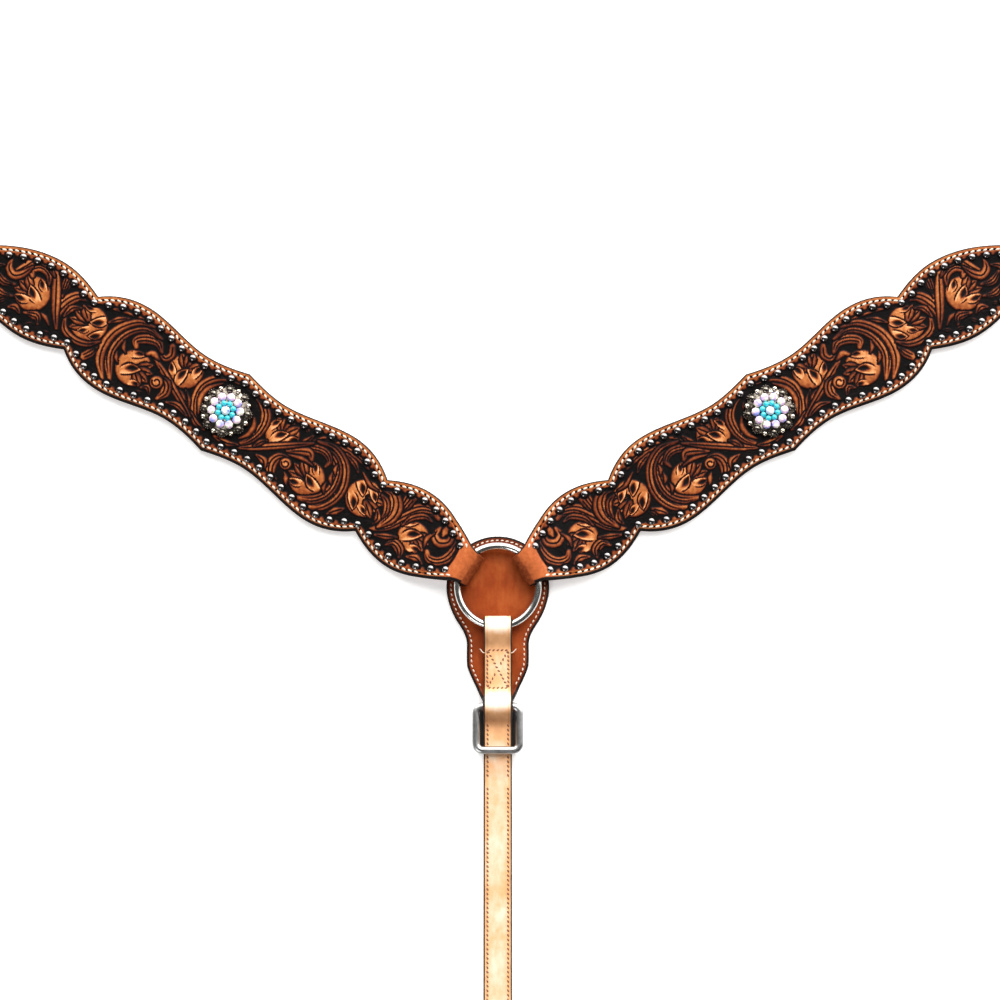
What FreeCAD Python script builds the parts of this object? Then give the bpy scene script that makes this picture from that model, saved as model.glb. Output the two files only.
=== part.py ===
import FreeCAD, Part
import math
import os

from FreeCAD import Vector

# A western breast collar laid flat and face up.  Millimetres.  The origin is under the middle of
# the centre ring, on the surface that the leather lies on.  +Z is out of the tooled face, +Y points
# to the top of the collar and +X to the right as it is seen from above.
#
# The two shoulders and the centre strap are each drawn in a strap frame: u runs outwards from the
# ring's centre along the strap, v runs across it, z is height.  The right shoulder is turned into
# place, the left one is its mirror image, and the centre strap is turned to hang along -Y.

# ---------------------------------------------------------------- driving dimensions
SHOULDER_RISE = 32.0        # degrees between a shoulder and the horizontal
HANG_ANGLE = -90.0          # the centre strap's direction

RING_INSIDE_RADIUS = 25.4   # a 2 inch ring
RING_ROD_RADIUS = 3.0
LOOP_ROD_RADIUS = 2.3       # rectangular loop and buckle frames, 1 inch inside
LOOP_INSIDE_WIDTH = 25.4
LOOP_BAR_SPACING = 30.0
LOOP_CORNER_RADIUS = 4.7
CLEARANCE = 0.3             # between pieces that move on each other

SAFE_LINING = 1.5           # leather thicknesses
SAFE_LEATHER = 2.0
SHOULDER_LINING = 1.8
SHOULDER_LEATHER = 2.8
FOLD_LEATHER = 2.1
STRAP_LEATHER = 2.4
STRAP_LINING = 1.4

CENTRE_STRAP_WIDTH = 19.05  # a 3/4 inch strap
TUG_WIDTH = 22.4

# Half-width of a shoulder: distance from the ring's centre, half-width, slope before, slope after.
# The outline is a cubic between neighbouring rows, with a cusp where the two slopes differ.
SHOULDER_OUTLINE = (
    (17.5, 11.2, 0.00, 0.02),
    (30.0, 13.6, 0.35, 0.54),
    (74.0, 29.7, 0.00, 0.00),
    (105.0, 20.7, -0.55, 0.80),
    (140.0, 33.5, 0.00, 0.00),
    (195.0, 26.1, 0.00, 0.00),
    (227.0, 31.4, 0.25, -0.28),
    (259.0, 26.2, 0.00, 0.00),
    (312.0, 34.0, 0.00, 0.00),
    (347.5, 21.8, -0.79, 0.44),
    (381.0, 30.3, 0.00, 0.00),
    (433.0, 13.4, -0.64, -0.45),
    (441.0, 11.2, 0.00, 0.00),
    (454.0, 11.2, 0.00, 0.00),
)
ARCH_HEIGHT = 3.0           # the shoulder's middle line bows up by this much
ARCH_PEAK = 260.0
ARCH_HALF_SPAN = 230.0

# Half-width of the ring safe below its round top, in the same form.
SAFE_RADIUS = 35.4
SAFE_OUTLINE = (
    (8.0, 34.48, 0.00, -0.232),
    (26.0, 26.60, -0.68, -0.68),
    (40.0, 21.10, 0.00, 0.00),
    (55.0, 20.90, -0.10, -0.30),
    (79.0, 10.00, -0.45, 0.00),
    (88.0, 10.00, 0.00, 0.00),
)

SPOT_RADIUS = 2.7
SPOT_HEIGHT = 1.7
SPOT_PITCH = 10.4
SPOT_INSET = 6.5
STITCH_PITCH = 4.5
STITCH_INSET = 2.9
STITCH_SIZE = (3.1, 0.9, 0.5)
SAFE_STITCH_HEIGHT = 0.25   # the tabs swing over these

FLEX_START = 48.7           # the leather hinge line where a shoulder bends beyond the safe
FLEX_END = 51.3
SLOPE_START = 53.0          # the shoulder comes down to the surface between these two
SLOPE_END = 70.0
SHOULDER_END = 433.0
CONCHO_U = 226.5
CONCHO_V = 3.6

END_RING_BAR_U = 447.0      # straight bar in the shoulder's end tab
END_RING_ROD_RADIUS = 2.5
END_RING_BAR_SPACING = 16.0
TUG_BUCKLE_U = 512.0
TUG_END_U = 650.0

LOOP_BAR_U = 83.0           # the bar that the ring safe's tip is folded around
HANGER_END_U = 133.0
TIE_START_U = 136.0
SNAP_BAR_U = 334.0

# ---------------------------------------------------------------- heights that follow from them
SAFE_TOP = SAFE_LINING + SAFE_LEATHER
TAB_BOTTOM = SAFE_TOP + SAFE_STITCH_HEIGHT + CLEARANCE
CAVITY_RADIUS = RING_ROD_RADIUS + CLEARANCE
TAB_FOLD_RADIUS = CAVITY_RADIUS + FOLD_LEATHER
RING_Z = TAB_BOTTOM + TAB_FOLD_RADIUS
RING_RADIUS = RING_INSIDE_RADIUS + RING_ROD_RADIUS
SHOULDER_THICKNESS = SHOULDER_LINING + SHOULDER_LEATHER
TAB_FLAT_END = 31.4         # the tab's front ply runs level over the ring to here
TAB_MERGE = 46.0            # and meets the rear ply's thickness here
END_RING_Z = END_RING_ROD_RADIUS + 0.4 + 2.2
LOOP_Z = SAFE_LINING + STRAP_LINING + STRAP_LEATHER + CLEARANCE + LOOP_ROD_RADIUS
TUG_LEATHER = 2.8
TUG_BUCKLE_Z = 7.6
CENTRE = Vector(0, 0, 0)
UP = Vector(0, 0, 1)
ACROSS = Vector(0, 1, 0)


# ---------------------------------------------------------------- outlines
def outline_at(knots, u):
    """Half-width and slope of an outline at distance u."""
    for (u0, h0, _, m0), (u1, h1, m1, _) in zip(knots, knots[1:]):
        if u <= u1:
            break
    length = u1 - u0
    t = (u - u0) / length
    value = (h0 * (1 - 3 * t**2 + 2 * t**3) + m0 * length * (t - 2 * t**2 + t**3)
             + h1 * (3 * t**2 - 2 * t**3) + m1 * length * (t**3 - t**2))
    slope = (h0 * (6 * t**2 - 6 * t) / length + m0 * (1 - 4 * t + 3 * t**2)
             + h1 * (6 * t - 6 * t**2) / length + m1 * (3 * t**2 - 2 * t))
    return value, slope


def arch(u):
    """Height and slope of the shoulder's middle line."""
    offset = (u - ARCH_PEAK) / ARCH_HALF_SPAN
    return ARCH_HEIGHT * (1 - offset**2), -2 * ARCH_HEIGHT * offset / ARCH_HALF_SPAN


def straight(u):
    """Middle line of a piece with no bow."""
    return 0.0, 0.0


def edge_at(knots, middle, side, u):
    """Place and slope of one edge of an outline: side +1 is the upper edge, -1 the lower."""
    half, half_slope = outline_at(knots, u)
    mid, mid_slope = middle(u)
    return mid + side * half, mid_slope + side * half_slope


def outline_edges(knots, middle, side):
    """One edge of an outline as Bezier curves, a curve for each pair of rows."""
    edges = []
    for (u0, h0, _, m0), (u1, h1, m1, _) in zip(knots, knots[1:]):
        third = (u1 - u0) / 3
        mid0, mid_slope0 = middle(u0)
        mid1, mid_slope1 = middle(u1)
        v0 = mid0 + side * h0
        v1 = mid1 + side * h1
        poles = [
            Vector(u0, v0, 0),
            Vector(u0 + third, v0 + (mid_slope0 + side * m0) * third, 0),
            Vector(u1 - third, v1 - (mid_slope1 + side * m1) * third, 0),
            Vector(u1, v1, 0),
        ]
        curve = Part.BezierCurve()
        curve.setPoles(poles)
        edges.append(curve.toShape())
    return edges


def closed_prism(edges, z0, z1):
    """A prism on a closed loop of edges."""
    wire = Part.Wire(Part.__sortEdges__(edges))
    solid = Part.Face(wire).extrude(Vector(0, 0, z1 - z0))
    solid.translate(Vector(0, 0, z0))
    return solid


def shoulder_prism():
    """The shoulder's whole outline, tab to tab, as a tall prism."""
    edges = []
    for side in (1, -1):
        edges += outline_edges(SHOULDER_OUTLINE, arch, side)
    for u in (SHOULDER_OUTLINE[0][0], SHOULDER_OUTLINE[-1][0]):
        upper = edge_at(SHOULDER_OUTLINE, arch, 1, u)[0]
        lower = edge_at(SHOULDER_OUTLINE, arch, -1, u)[0]
        edges.append(Part.makeLine(Vector(u, lower, 0), Vector(u, upper, 0)))
    return closed_prism(edges, -1, 20)


def safe_prism():
    """The ring safe's outline: a round top that narrows to a tip."""
    u0, h0 = SAFE_OUTLINE[0][:2]
    u1, h1 = SAFE_OUTLINE[-1][:2]
    top = Part.Arc(Vector(u0, h0, 0), Vector(-SAFE_RADIUS, 0, 0), Vector(u0, -h0, 0))
    edges = [top.toShape(), Part.makeLine(Vector(u1, -h1, 0), Vector(u1, h1, 0))]
    for side in (1, -1):
        edges += outline_edges(SAFE_OUTLINE, straight, side)
    return closed_prism(edges, -1, 20)


def inset_row(knots, middle, side, inset, u0, u1, pitch):
    """Evenly spaced places and directions along a line that keeps its distance from one edge."""
    step = 0.25
    samples = [u0 - 12 + step * i for i in range(int((u1 - u0 + 24) / step))]
    rim = []
    for u in samples:
        if knots[0][0] <= u <= knots[-1][0]:
            v, slope = edge_at(knots, middle, side, u)
            rim.append((u, v, slope))
    line = []
    for u, v, slope in rim:
        size = math.hypot(1, slope)
        here = (u + side * inset * slope / size, v - side * inset / size)
        near = min(math.hypot(here[0] - a, here[1] - b) for a, b, _ in rim if abs(a - u) < 25)
        if near > inset - 0.05 and u0 <= here[0] <= u1:
            line.append(here)
    places = []
    walked = pitch
    for (ua, va), (ub, vb) in zip(line, line[1:]):
        walked += math.hypot(ub - ua, vb - va)
        if walked >= pitch:
            walked -= pitch
            places.append((ub, vb, math.degrees(math.atan2(vb - va, ub - ua))))
    return places


# ---------------------------------------------------------------- sections in the (u, z) plane
def section(points):
    """A face in the (u, z) plane. A point is (u, z), or (u, z, middle_u, middle_z) for an arc."""
    edges = []
    here = Vector(points[-1][0], 0, points[-1][1])
    for point in points:
        there = Vector(point[0], 0, point[1])
        if len(point) == 4:
            edges.append(Part.Arc(here, Vector(point[2], 0, point[3]), there).toShape())
        elif (there - here).Length > 1e-6:
            edges.append(Part.makeLine(here, there))
        here = there
    return Part.Face(Part.Wire(edges))


def across(face, v0, v1):
    """Extrudes a (u, z) face over v0 to v1."""
    solid = face.extrude(Vector(0, v1 - v0, 0))
    solid.translate(Vector(0, v0, 0))
    return solid


def fold_section(bar, radius, leather, turn, level, merge, end, tail, slack=0.0):
    """Leather folded around a bar and sewn to itself.

    bar is (u, z); turn +1 puts the fold at the far side of the bar and the tail at the near side.
    The front ply runs level for a while, then meets the rear ply; the tail is (z0, z1) thick.
    slack moves the fold away from the bar, for a straight fold around a curved rod.
    """
    fold_u = bar[0] + turn * slack
    z = bar[1]
    outer = radius + leather
    low, high = tail
    meeting = low + leather if low < z - radius else low + 1.0
    outside = section([
        (fold_u, z - outer),
        (fold_u, z + outer, fold_u + turn * outer, z),
        (bar[0] - turn * level, z + outer),
        (bar[0] - turn * merge, high),
        (bar[0] - turn * end, high),
        (bar[0] - turn * end, low),
        (bar[0] - turn * merge, low),
        (bar[0] - turn * min(level, 1.0), z - outer),
    ])
    inside = section([
        (fold_u, z - radius),
        (fold_u, z + radius, fold_u + turn * radius, z),
        (bar[0] - turn * (level - 1.0), z + radius),
        (bar[0] - turn * (merge - 3.0), meeting),
        (bar[0] - turn * min(level, 1.0), z - radius),
    ])
    return outside.cut(inside)


def ribbon_section(path, thickness):
    """A strap's section: path is its underside, and it is thickness thick above that."""
    upper = []
    for i, (u, z) in enumerate(path):
        before = path[max(i - 1, 0)]
        after = path[min(i + 1, len(path) - 1)]
        directions = []
        for a, b in ((before, (u, z)), ((u, z), after)):
            length = math.hypot(b[0] - a[0], b[1] - a[1])
            if length > 0:
                directions.append(((b[0] - a[0]) / length, (b[1] - a[1]) / length))
        mean_u = sum(d[0] for d in directions)
        mean_z = sum(d[1] for d in directions)
        size = math.hypot(mean_u, mean_z)
        mitre = directions[0][0] * mean_u / size + directions[0][1] * mean_z / size
        upper.append((u - thickness * mean_z / size / mitre, z + thickness * mean_u / size / mitre))
    return section(list(path) + upper[::-1])


# ---------------------------------------------------------------- small pieces
def rod_loop(bar_u, bar_z, inside_width, spacing, corner, rod):
    """A rectangular loop of round rod. Its first bar is at bar_u and its second bar at + spacing."""
    half = inside_width / 2 + rod
    u0 = bar_u
    u1 = bar_u + spacing
    z = bar_z
    c = corner
    k = corner * (1 - math.sqrt(0.5))
    corners = [
        (Vector(u0, half - c, z), Vector(u0 + k, half - k, z), Vector(u0 + c, half, z)),
        (Vector(u1 - c, half, z), Vector(u1 - k, half - k, z), Vector(u1, half - c, z)),
        (Vector(u1, c - half, z), Vector(u1 - k, k - half, z), Vector(u1 - c, -half, z)),
        (Vector(u0 + c, -half, z), Vector(u0 + k, k - half, z), Vector(u0, c - half, z)),
    ]
    edges = []
    start = Vector(u0, 0, z)
    here = start
    for first, middle, last in corners:
        edges.append(Part.makeLine(here, first))
        edges.append(Part.Arc(first, middle, last).toShape())
        here = last
    edges.append(Part.makeLine(here, start))
    path = Part.Wire(edges)
    profile = Part.Wire(Part.makeCircle(rod, start, ACROSS))
    return path.makePipeShell([profile], True, False)


def dome(radius, height):
    """A round-headed spot standing on z = 0."""
    ball = (radius**2 + height**2) / (2 * height)
    latitude = math.degrees(math.asin((ball - height) / ball))
    return Part.makeSphere(ball, Vector(0, 0, height - ball), UP, latitude, 90, 360)


def stitch(height=STITCH_SIZE[2]):
    """One visible stitch lying on z = 0."""
    length, width = STITCH_SIZE[:2]
    return Part.makeBox(length, width, height, Vector(-length / 2, -width / 2, 0))


def shoulder_top(u):
    """Height of the shoulder's upper surface."""
    raised = TAB_BOTTOM + SHOULDER_THICKNESS
    high = RING_Z + TAB_FOLD_RADIUS
    if u < TAB_FLAT_END:
        return high
    if u < TAB_MERGE:
        return high + (raised - high) * (u - TAB_FLAT_END) / (TAB_MERGE - TAB_FLAT_END)
    if u < SLOPE_START:
        return raised
    if u < SLOPE_END:
        return raised - TAB_BOTTOM * (u - SLOPE_START) / (SLOPE_END - SLOPE_START)
    return SHOULDER_THICKNESS


def seated(piece, u, v, turn, reach):
    """A piece turned about z, tilted to the shoulder's surface and stood on it at (u, v)."""
    slope = (shoulder_top(u + reach) - shoulder_top(u - reach)) / (2 * reach)
    offsets = [reach * i / 8 for i in range(-8, 9)]
    height = max(shoulder_top(u + offset) - slope * offset for offset in offsets)
    piece.rotate(CENTRE, UP, turn)
    piece.rotate(CENTRE, ACROSS, -math.degrees(math.atan(slope)))
    piece.translate(Vector(u, v, height))
    return piece


def spots(u0, u1):
    """The two rows of spots inside the shoulder's border that lie between u0 and u1."""
    pieces = []
    for side in (1, -1):
        row = inset_row(SHOULDER_OUTLINE, arch, side, SPOT_INSET, 36.0, 431.0, SPOT_PITCH)
        for u, v, _ in row:
            if u0 < u < u1:
                pieces.append(seated(dome(SPOT_RADIUS, SPOT_HEIGHT), u, v, 0, SPOT_RADIUS))
    return Part.makeCompound(pieces)


def shoulder_stitches():
    """The stitch rows that join a shoulder's face to its lining."""
    pieces = []
    for side in (1, -1):
        row = inset_row(SHOULDER_OUTLINE, arch, side, STITCH_INSET, 55.0, 430.0, STITCH_PITCH)
        pieces += [seated(stitch(), u, v, turn, STITCH_SIZE[0] / 2) for u, v, turn in row]
    return Part.makeCompound(pieces)


# ---------------------------------------------------------------- a shoulder
def ring_tab(prism):
    """The shoulder's plain end, folded around the centre ring."""
    face = fold_section(
        bar=(RING_RADIUS, RING_Z), radius=CAVITY_RADIUS, leather=FOLD_LEATHER, turn=-1,
        level=TAB_FLAT_END - RING_RADIUS, merge=TAB_MERGE - RING_RADIUS,
        end=FLEX_START - RING_RADIUS,
        tail=(TAB_BOTTOM, TAB_BOTTOM + SHOULDER_THICKNESS), slack=5.1)
    return across(face, -60, 60).common(prism)


def flex_leather(prism):
    """The short bending length of leather between the tab and the shoulder."""
    low = TAB_BOTTOM + 0.4
    high = TAB_BOTTOM + SHOULDER_THICKNESS - 0.4
    corners = [(FLEX_START, low), (FLEX_END, low), (FLEX_END, high), (FLEX_START, high)]
    return across(section(corners), -60, 60).common(prism)


def shoulder_layer(prism, z0, z1):
    """One layer of a shoulder: it follows the safe's rim down to the surface."""
    path = [(FLEX_END, TAB_BOTTOM), (SLOPE_START, TAB_BOTTOM), (SLOPE_END, 0.0), (SHOULDER_END, 0.0)]
    lower = [(u, z + z0) for u, z in path]
    upper = [(u, z + z1) for u, z in path]
    layer = across(section(lower + upper[::-1]), -60, 60).common(prism)
    hole = Part.makeCylinder(2.8, 20, Vector(CONCHO_U, CONCHO_V, -1))
    if z0 == 0.0:
        hole = hole.fuse(Part.makeCylinder(5.2, 2.2, Vector(CONCHO_U, CONCHO_V, -1)))
    return layer.cut(hole)


def end_tab(prism):
    """The shoulder's outer end, folded around the end ring's bar."""
    face = fold_section(
        bar=(END_RING_BAR_U, END_RING_Z), radius=END_RING_ROD_RADIUS + 0.4, leather=2.2, turn=1,
        level=2.5, merge=10.5, end=END_RING_BAR_U - SHOULDER_END,
        tail=(0.0, SHOULDER_THICKNESS))
    return across(face, -60, 60).common(prism)


def end_ring():
    """The rectangular ring between a shoulder and its tug strap."""
    ring = rod_loop(END_RING_BAR_U, END_RING_Z, LOOP_INSIDE_WIDTH, END_RING_BAR_SPACING, 4.0,
                    END_RING_ROD_RADIUS)
    ring.translate(Vector(0, arch(END_RING_BAR_U)[0], 0))
    return ring


# ---------------------------------------------------------------- the concho
BERRIES = 8
CRYSTALS = 10
TURQUOISES = 8
CRYSTAL_SEAT = 2.6
STONE_SEAT = 3.4


def around(count, radius, start=0.0):
    """Places evenly spaced around the concho's middle."""
    for i in range(count):
        angle = math.radians(start + 360.0 * i / count)
        yield radius * math.cos(angle), radius * math.sin(angle)


def on_shoulder(piece):
    """Moves a piece from the concho's own middle to its place on the shoulder."""
    piece.translate(Vector(CONCHO_U, CONCHO_V, SHOULDER_THICKNESS))
    return piece


def concho_base():
    """A stepped disc with a rim of berries and small beads."""
    base = Part.makeCylinder(15.5, 1.4)
    base = base.fuse(Part.makeCylinder(12.6, CRYSTAL_SEAT))
    base = base.fuse(Part.makeCylinder(7.6, STONE_SEAT))
    for x, y in around(BERRIES, 15.3, 22.5):
        base = base.fuse(Part.makeCylinder(3.7, 1.4, Vector(x, y, 0)))
        ball = dome(2.75, 2.7)
        ball.translate(Vector(x, y, 1.4))
        base = base.fuse(ball)
    for x, y in around(BERRIES, 16.6, 0.0):
        base = base.fuse(Part.makeCylinder(1.5, 1.4, Vector(x, y, 0)))
        bead = dome(1.3, 1.2)
        bead.translate(Vector(x, y, 1.4))
        base = base.fuse(bead)
    return on_shoulder(base.cut(Part.makeCylinder(1.6, 2.4, Vector(0, 0, -0.2))))


def concho_stones(count, radius, seat, bottom, table, height, start):
    """A ring of stones standing on one step of the base."""
    stones = []
    for x, y in around(count, radius, start):
        stones.append(Part.makeCone(bottom, table, height, Vector(x, y, seat)))
    return on_shoulder(Part.makeCompound(stones))


def concho_turquoise():
    """A ring of round turquoise beads."""
    beads = []
    for x, y in around(TURQUOISES, 5.85):
        bead = dome(1.95, 1.9)
        bead.translate(Vector(x, y, STONE_SEAT))
        beads.append(bead)
    return on_shoulder(Part.makeCompound(beads))


def concho_screw():
    """The screw post that holds the concho, with its head let into the lining."""
    screw = Part.makeCylinder(4.9, 0.9, Vector(CONCHO_U, CONCHO_V, 0.1))
    screw = screw.fuse(Part.makeCylinder(2.5, SHOULDER_THICKNESS - 1.0, Vector(CONCHO_U, CONCHO_V, 1.0)))
    pin = Part.makeCylinder(1.6, 2.2, Vector(CONCHO_U, CONCHO_V, SHOULDER_THICKNESS))
    slot = Part.makeBox(7.0, 1.0, 0.5, Vector(CONCHO_U - 3.5, CONCHO_V - 0.5, 0.1))
    return screw.fuse(pin).cut(slot)


# ---------------------------------------------------------------- a tug
TUG_BAR_U = END_RING_BAR_U + END_RING_BAR_SPACING
TUG_DOUBLE_END = TUG_BAR_U + 40.0
TUG_HOLES = 5
TUG_HOLE_PITCH = 19.0


def tug_strap():
    """The billet: folded around the end ring, doubled at its root, with holes to its tip."""
    face = fold_section(
        bar=(TUG_BAR_U, END_RING_Z), radius=END_RING_ROD_RADIUS + 0.4, leather=2.2, turn=-1,
        level=2.5, merge=12.0, end=TUG_DOUBLE_END - TUG_BAR_U, tail=(0.0, TUG_LEATHER + 2.2))
    strap = across(face, -TUG_WIDTH / 2, TUG_WIDTH / 2)
    half = TUG_WIDTH / 2
    tip = 14.0
    outline = [
        Part.makeLine(Vector(TUG_DOUBLE_END - 1, -half, 0), Vector(TUG_END_U - tip, -half, 0)),
        Part.Arc(Vector(TUG_END_U - tip, -half, 0), Vector(TUG_END_U - 6, -7.2, 0),
                 Vector(TUG_END_U, 0, 0)).toShape(),
        Part.Arc(Vector(TUG_END_U, 0, 0), Vector(TUG_END_U - 6, 7.2, 0),
                 Vector(TUG_END_U - tip, half, 0)).toShape(),
        Part.makeLine(Vector(TUG_END_U - tip, half, 0), Vector(TUG_DOUBLE_END - 1, half, 0)),
        Part.makeLine(Vector(TUG_DOUBLE_END - 1, half, 0), Vector(TUG_DOUBLE_END - 1, -half, 0)),
    ]
    strap = strap.fuse(closed_prism(outline, 0, TUG_LEATHER))
    for i in range(TUG_HOLES):
        u = TUG_END_U - 28.0 - TUG_HOLE_PITCH * i
        strap = strap.cut(Part.makeCylinder(2.0, 10, Vector(u, 0, -1)))
    return strap.removeSplitter()


def tug_chape():
    """The short leather that carries the buckle, slotted for its tongue."""
    face = fold_section(
        bar=(TUG_BUCKLE_U, TUG_BUCKLE_Z), radius=LOOP_ROD_RADIUS + CLEARANCE, leather=1.6, turn=1,
        level=2.2, merge=8.5, end=TUG_BUCKLE_U - 480.0,
        tail=(TUG_LEATHER + 2.2, TUG_LEATHER + 2.2 + 3.2))
    chape = across(face, -9.8, 9.8)
    slot_length = 8.6       # behind the heel bar, so that the tongue can swing back
    slot = Part.makeBox(slot_length + 14, 5.2, 20, Vector(TUG_BUCKLE_U - slot_length, -2.6, 0))
    return chape.cut(slot)


def tug_tongue():
    """The buckle's tongue: an eye around the heel bar and a shank that rests on the toe bar."""
    eye = 4.3
    heel = Vector(TUG_BUCKLE_U, -1.9, TUG_BUCKLE_Z)
    coil = Part.makeCylinder(eye, 3.8, heel, ACROSS)
    toe_u = TUG_BUCKLE_U + LOOP_BAR_SPACING + 3.2
    rest = TUG_BUCKLE_Z + LOOP_ROD_RADIUS + CLEARANCE
    shank = across(section([
        (TUG_BUCKLE_U, TUG_BUCKLE_Z + eye - 2.2),
        (toe_u, rest), (toe_u, rest + 1.8), (TUG_BUCKLE_U, TUG_BUCKLE_Z + eye)]), -1.9, 1.9)
    hole = Part.makeCylinder(LOOP_ROD_RADIUS + CLEARANCE, 6, heel - Vector(0, 1, 0), ACROSS)
    return coil.fuse(shank).cut(hole).removeSplitter()


def tug_keeper():
    """A fixed leather loop over the chape that holds the billet's end."""
    half = TUG_WIDTH / 2
    top = 13.0
    block = Part.makeBox(10.0, 2 * half + 3.2, top - 0.6, Vector(484.0, -half - 1.6, 0.6))
    gap = Part.makeBox(12.0, 2 * half, top - 1.6, Vector(483.0, -half, 0.0))
    return block.cut(gap)


def tug_pieces():
    """Every piece of a tug, moved on to the shoulder's end line."""
    pieces = {
        "tug_strap": tug_strap(),
        "tug_chape": tug_chape(),
        "tug_buckle": rod_loop(TUG_BUCKLE_U, TUG_BUCKLE_Z, LOOP_INSIDE_WIDTH, LOOP_BAR_SPACING,
                               LOOP_CORNER_RADIUS, LOOP_ROD_RADIUS),
        "tug_tongue": tug_tongue(),
        "tug_keeper": tug_keeper(),
    }
    for piece in pieces.values():
        piece.translate(Vector(0, arch(END_RING_BAR_U)[0], 0))
    return pieces


def shoulder_pieces():
    """Every node of one side, in the strap frame."""
    prism = shoulder_prism()
    pieces = {
        "ring_tab": ring_tab(prism),
        "tab_spots": spots(0, FLEX_START),
        "flex_leather": flex_leather(prism),
        "shoulder_face": shoulder_layer(prism, SHOULDER_LINING, SHOULDER_THICKNESS),
        "shoulder_lining": shoulder_layer(prism, 0.0, SHOULDER_LINING),
        "seam_thread": shoulder_stitches(),
        "spots": spots(FLEX_END, SHOULDER_END),
        "concho": concho_base(),
        "concho_crystals": concho_stones(CRYSTALS, 10.2, CRYSTAL_SEAT, 2.5, 1.6, 2.4, 0.0),
        "concho_turquoise": concho_turquoise(),
        "concho_centre_stone": concho_stones(1, 0.0, STONE_SEAT, 3.4, 2.0, 2.6, 0.0),
        "concho_screw": concho_screw(),
        "end_tab": end_tab(prism),
        "end_ring": end_ring(),
    }
    pieces.update(tug_pieces())
    return pieces


# ---------------------------------------------------------------- the ring and its safe
def centre_ring():
    """The round rod ring that the three straps hang from."""
    return Part.makeTorus(RING_RADIUS, RING_ROD_RADIUS, Vector(0, 0, RING_Z))


def ring_safe(prism):
    """The face of the shield behind the ring, its tip folded around the rectangular loop."""
    flat_end = LOOP_BAR_U - 11.0
    flat = Part.makeBox(flat_end + 60, 120, SAFE_LEATHER, Vector(-60, -60, SAFE_LINING))
    face = fold_section(
        bar=(LOOP_BAR_U, LOOP_Z), radius=LOOP_ROD_RADIUS + CLEARANCE, leather=1.5, turn=1,
        level=3.0, merge=10.0, end=11.0, tail=(SAFE_LINING, SAFE_TOP))
    return flat.fuse(across(face, -60, 60)).common(prism).removeSplitter()


def safe_lining(prism):
    """The layer under the safe's face."""
    layer = Part.makeBox(79.0 + 60, 120, SAFE_LINING, Vector(-60, -60, 0))
    return layer.common(prism)


def loop_backing():
    """The dark leather strip under the rectangular loop."""
    return Part.makeBox(118.0 - 79.3, 28.0, SAFE_LINING, Vector(79.3, -14.0, 0))


def safe_stitches():
    """One row of stitches around the safe."""
    pieces = []
    radius = SAFE_RADIUS - STITCH_INSET
    start = math.degrees(math.acos(SAFE_OUTLINE[0][0] / SAFE_RADIUS))
    count = int(math.radians(360 - 2 * start) * radius / STITCH_PITCH)
    for i in range(count):
        angle = start + (360 - 2 * start) * (i + 0.5) / count
        piece = stitch(SAFE_STITCH_HEIGHT)
        piece.translate(Vector(radius, 0, 0))
        piece.rotate(Vector(radius, 0, 0), UP, 90)
        piece.rotate(CENTRE, UP, angle)
        pieces.append(piece)
    for side in (1, -1):
        row = inset_row(SAFE_OUTLINE, straight, side, STITCH_INSET, 9.0, 70.0, STITCH_PITCH)
        for u, v, turn in row:
            piece = stitch(SAFE_STITCH_HEIGHT)
            piece.rotate(CENTRE, UP, turn)
            piece.translate(Vector(u, v, 0))
            pieces.append(piece)
    for piece in pieces:
        piece.translate(Vector(0, 0, SAFE_TOP))
    return Part.makeCompound(pieces)


# ---------------------------------------------------------------- the centre strap
HALF_STRAP = CENTRE_STRAP_WIDTH / 2
PLY_BOTTOM = TAB_BOTTOM + FOLD_LEATHER
BOX_START_U = 38.0          # the sewn box with its cross
BOX_END_U = 72.0
LOOP_FOLD_TOP = LOOP_Z + LOOP_ROD_RADIUS + CLEARANCE + 1.5
HANGER_PATH = (
    (BOX_END_U - 4.0, PLY_BOTTOM),
    (71.0, PLY_BOTTOM),
    (78.0, LOOP_FOLD_TOP + 0.1),
    (85.5, LOOP_FOLD_TOP + 0.1),
    (94.3, SAFE_LINING + STRAP_LINING),
    (118.0, SAFE_LINING + STRAP_LINING),
    (131.0, STRAP_LINING),
    (HANGER_END_U, STRAP_LINING),
)


def hanger_strap():
    """The strap folded around the ring, over the safe's folded tip and under the loop's far bar."""
    face = fold_section(
        bar=(RING_RADIUS, RING_Z), radius=CAVITY_RADIUS, leather=FOLD_LEATHER, turn=-1,
        level=TAB_FLAT_END - RING_RADIUS, merge=42.0 - RING_RADIUS, end=BOX_END_U - RING_RADIUS,
        tail=(TAB_BOTTOM, PLY_BOTTOM + STRAP_LEATHER), slack=2.4)
    fold = across(face, -HALF_STRAP, HALF_STRAP)
    run = across(ribbon_section(HANGER_PATH, STRAP_LEATHER), -HALF_STRAP, HALF_STRAP)
    return fold.fuse(run).removeSplitter()


def hanger_lining():
    """The lining under the hanger's lower part."""
    lower = [(95.5, SAFE_LINING), (118.2, SAFE_LINING), (131.0, 0.0), (HANGER_END_U, 0.0)]
    upper = [(95.5, SAFE_LINING + STRAP_LINING)] + list(HANGER_PATH[-3:])
    return across(section(lower + upper[::-1]), -HALF_STRAP, HALF_STRAP)


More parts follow.
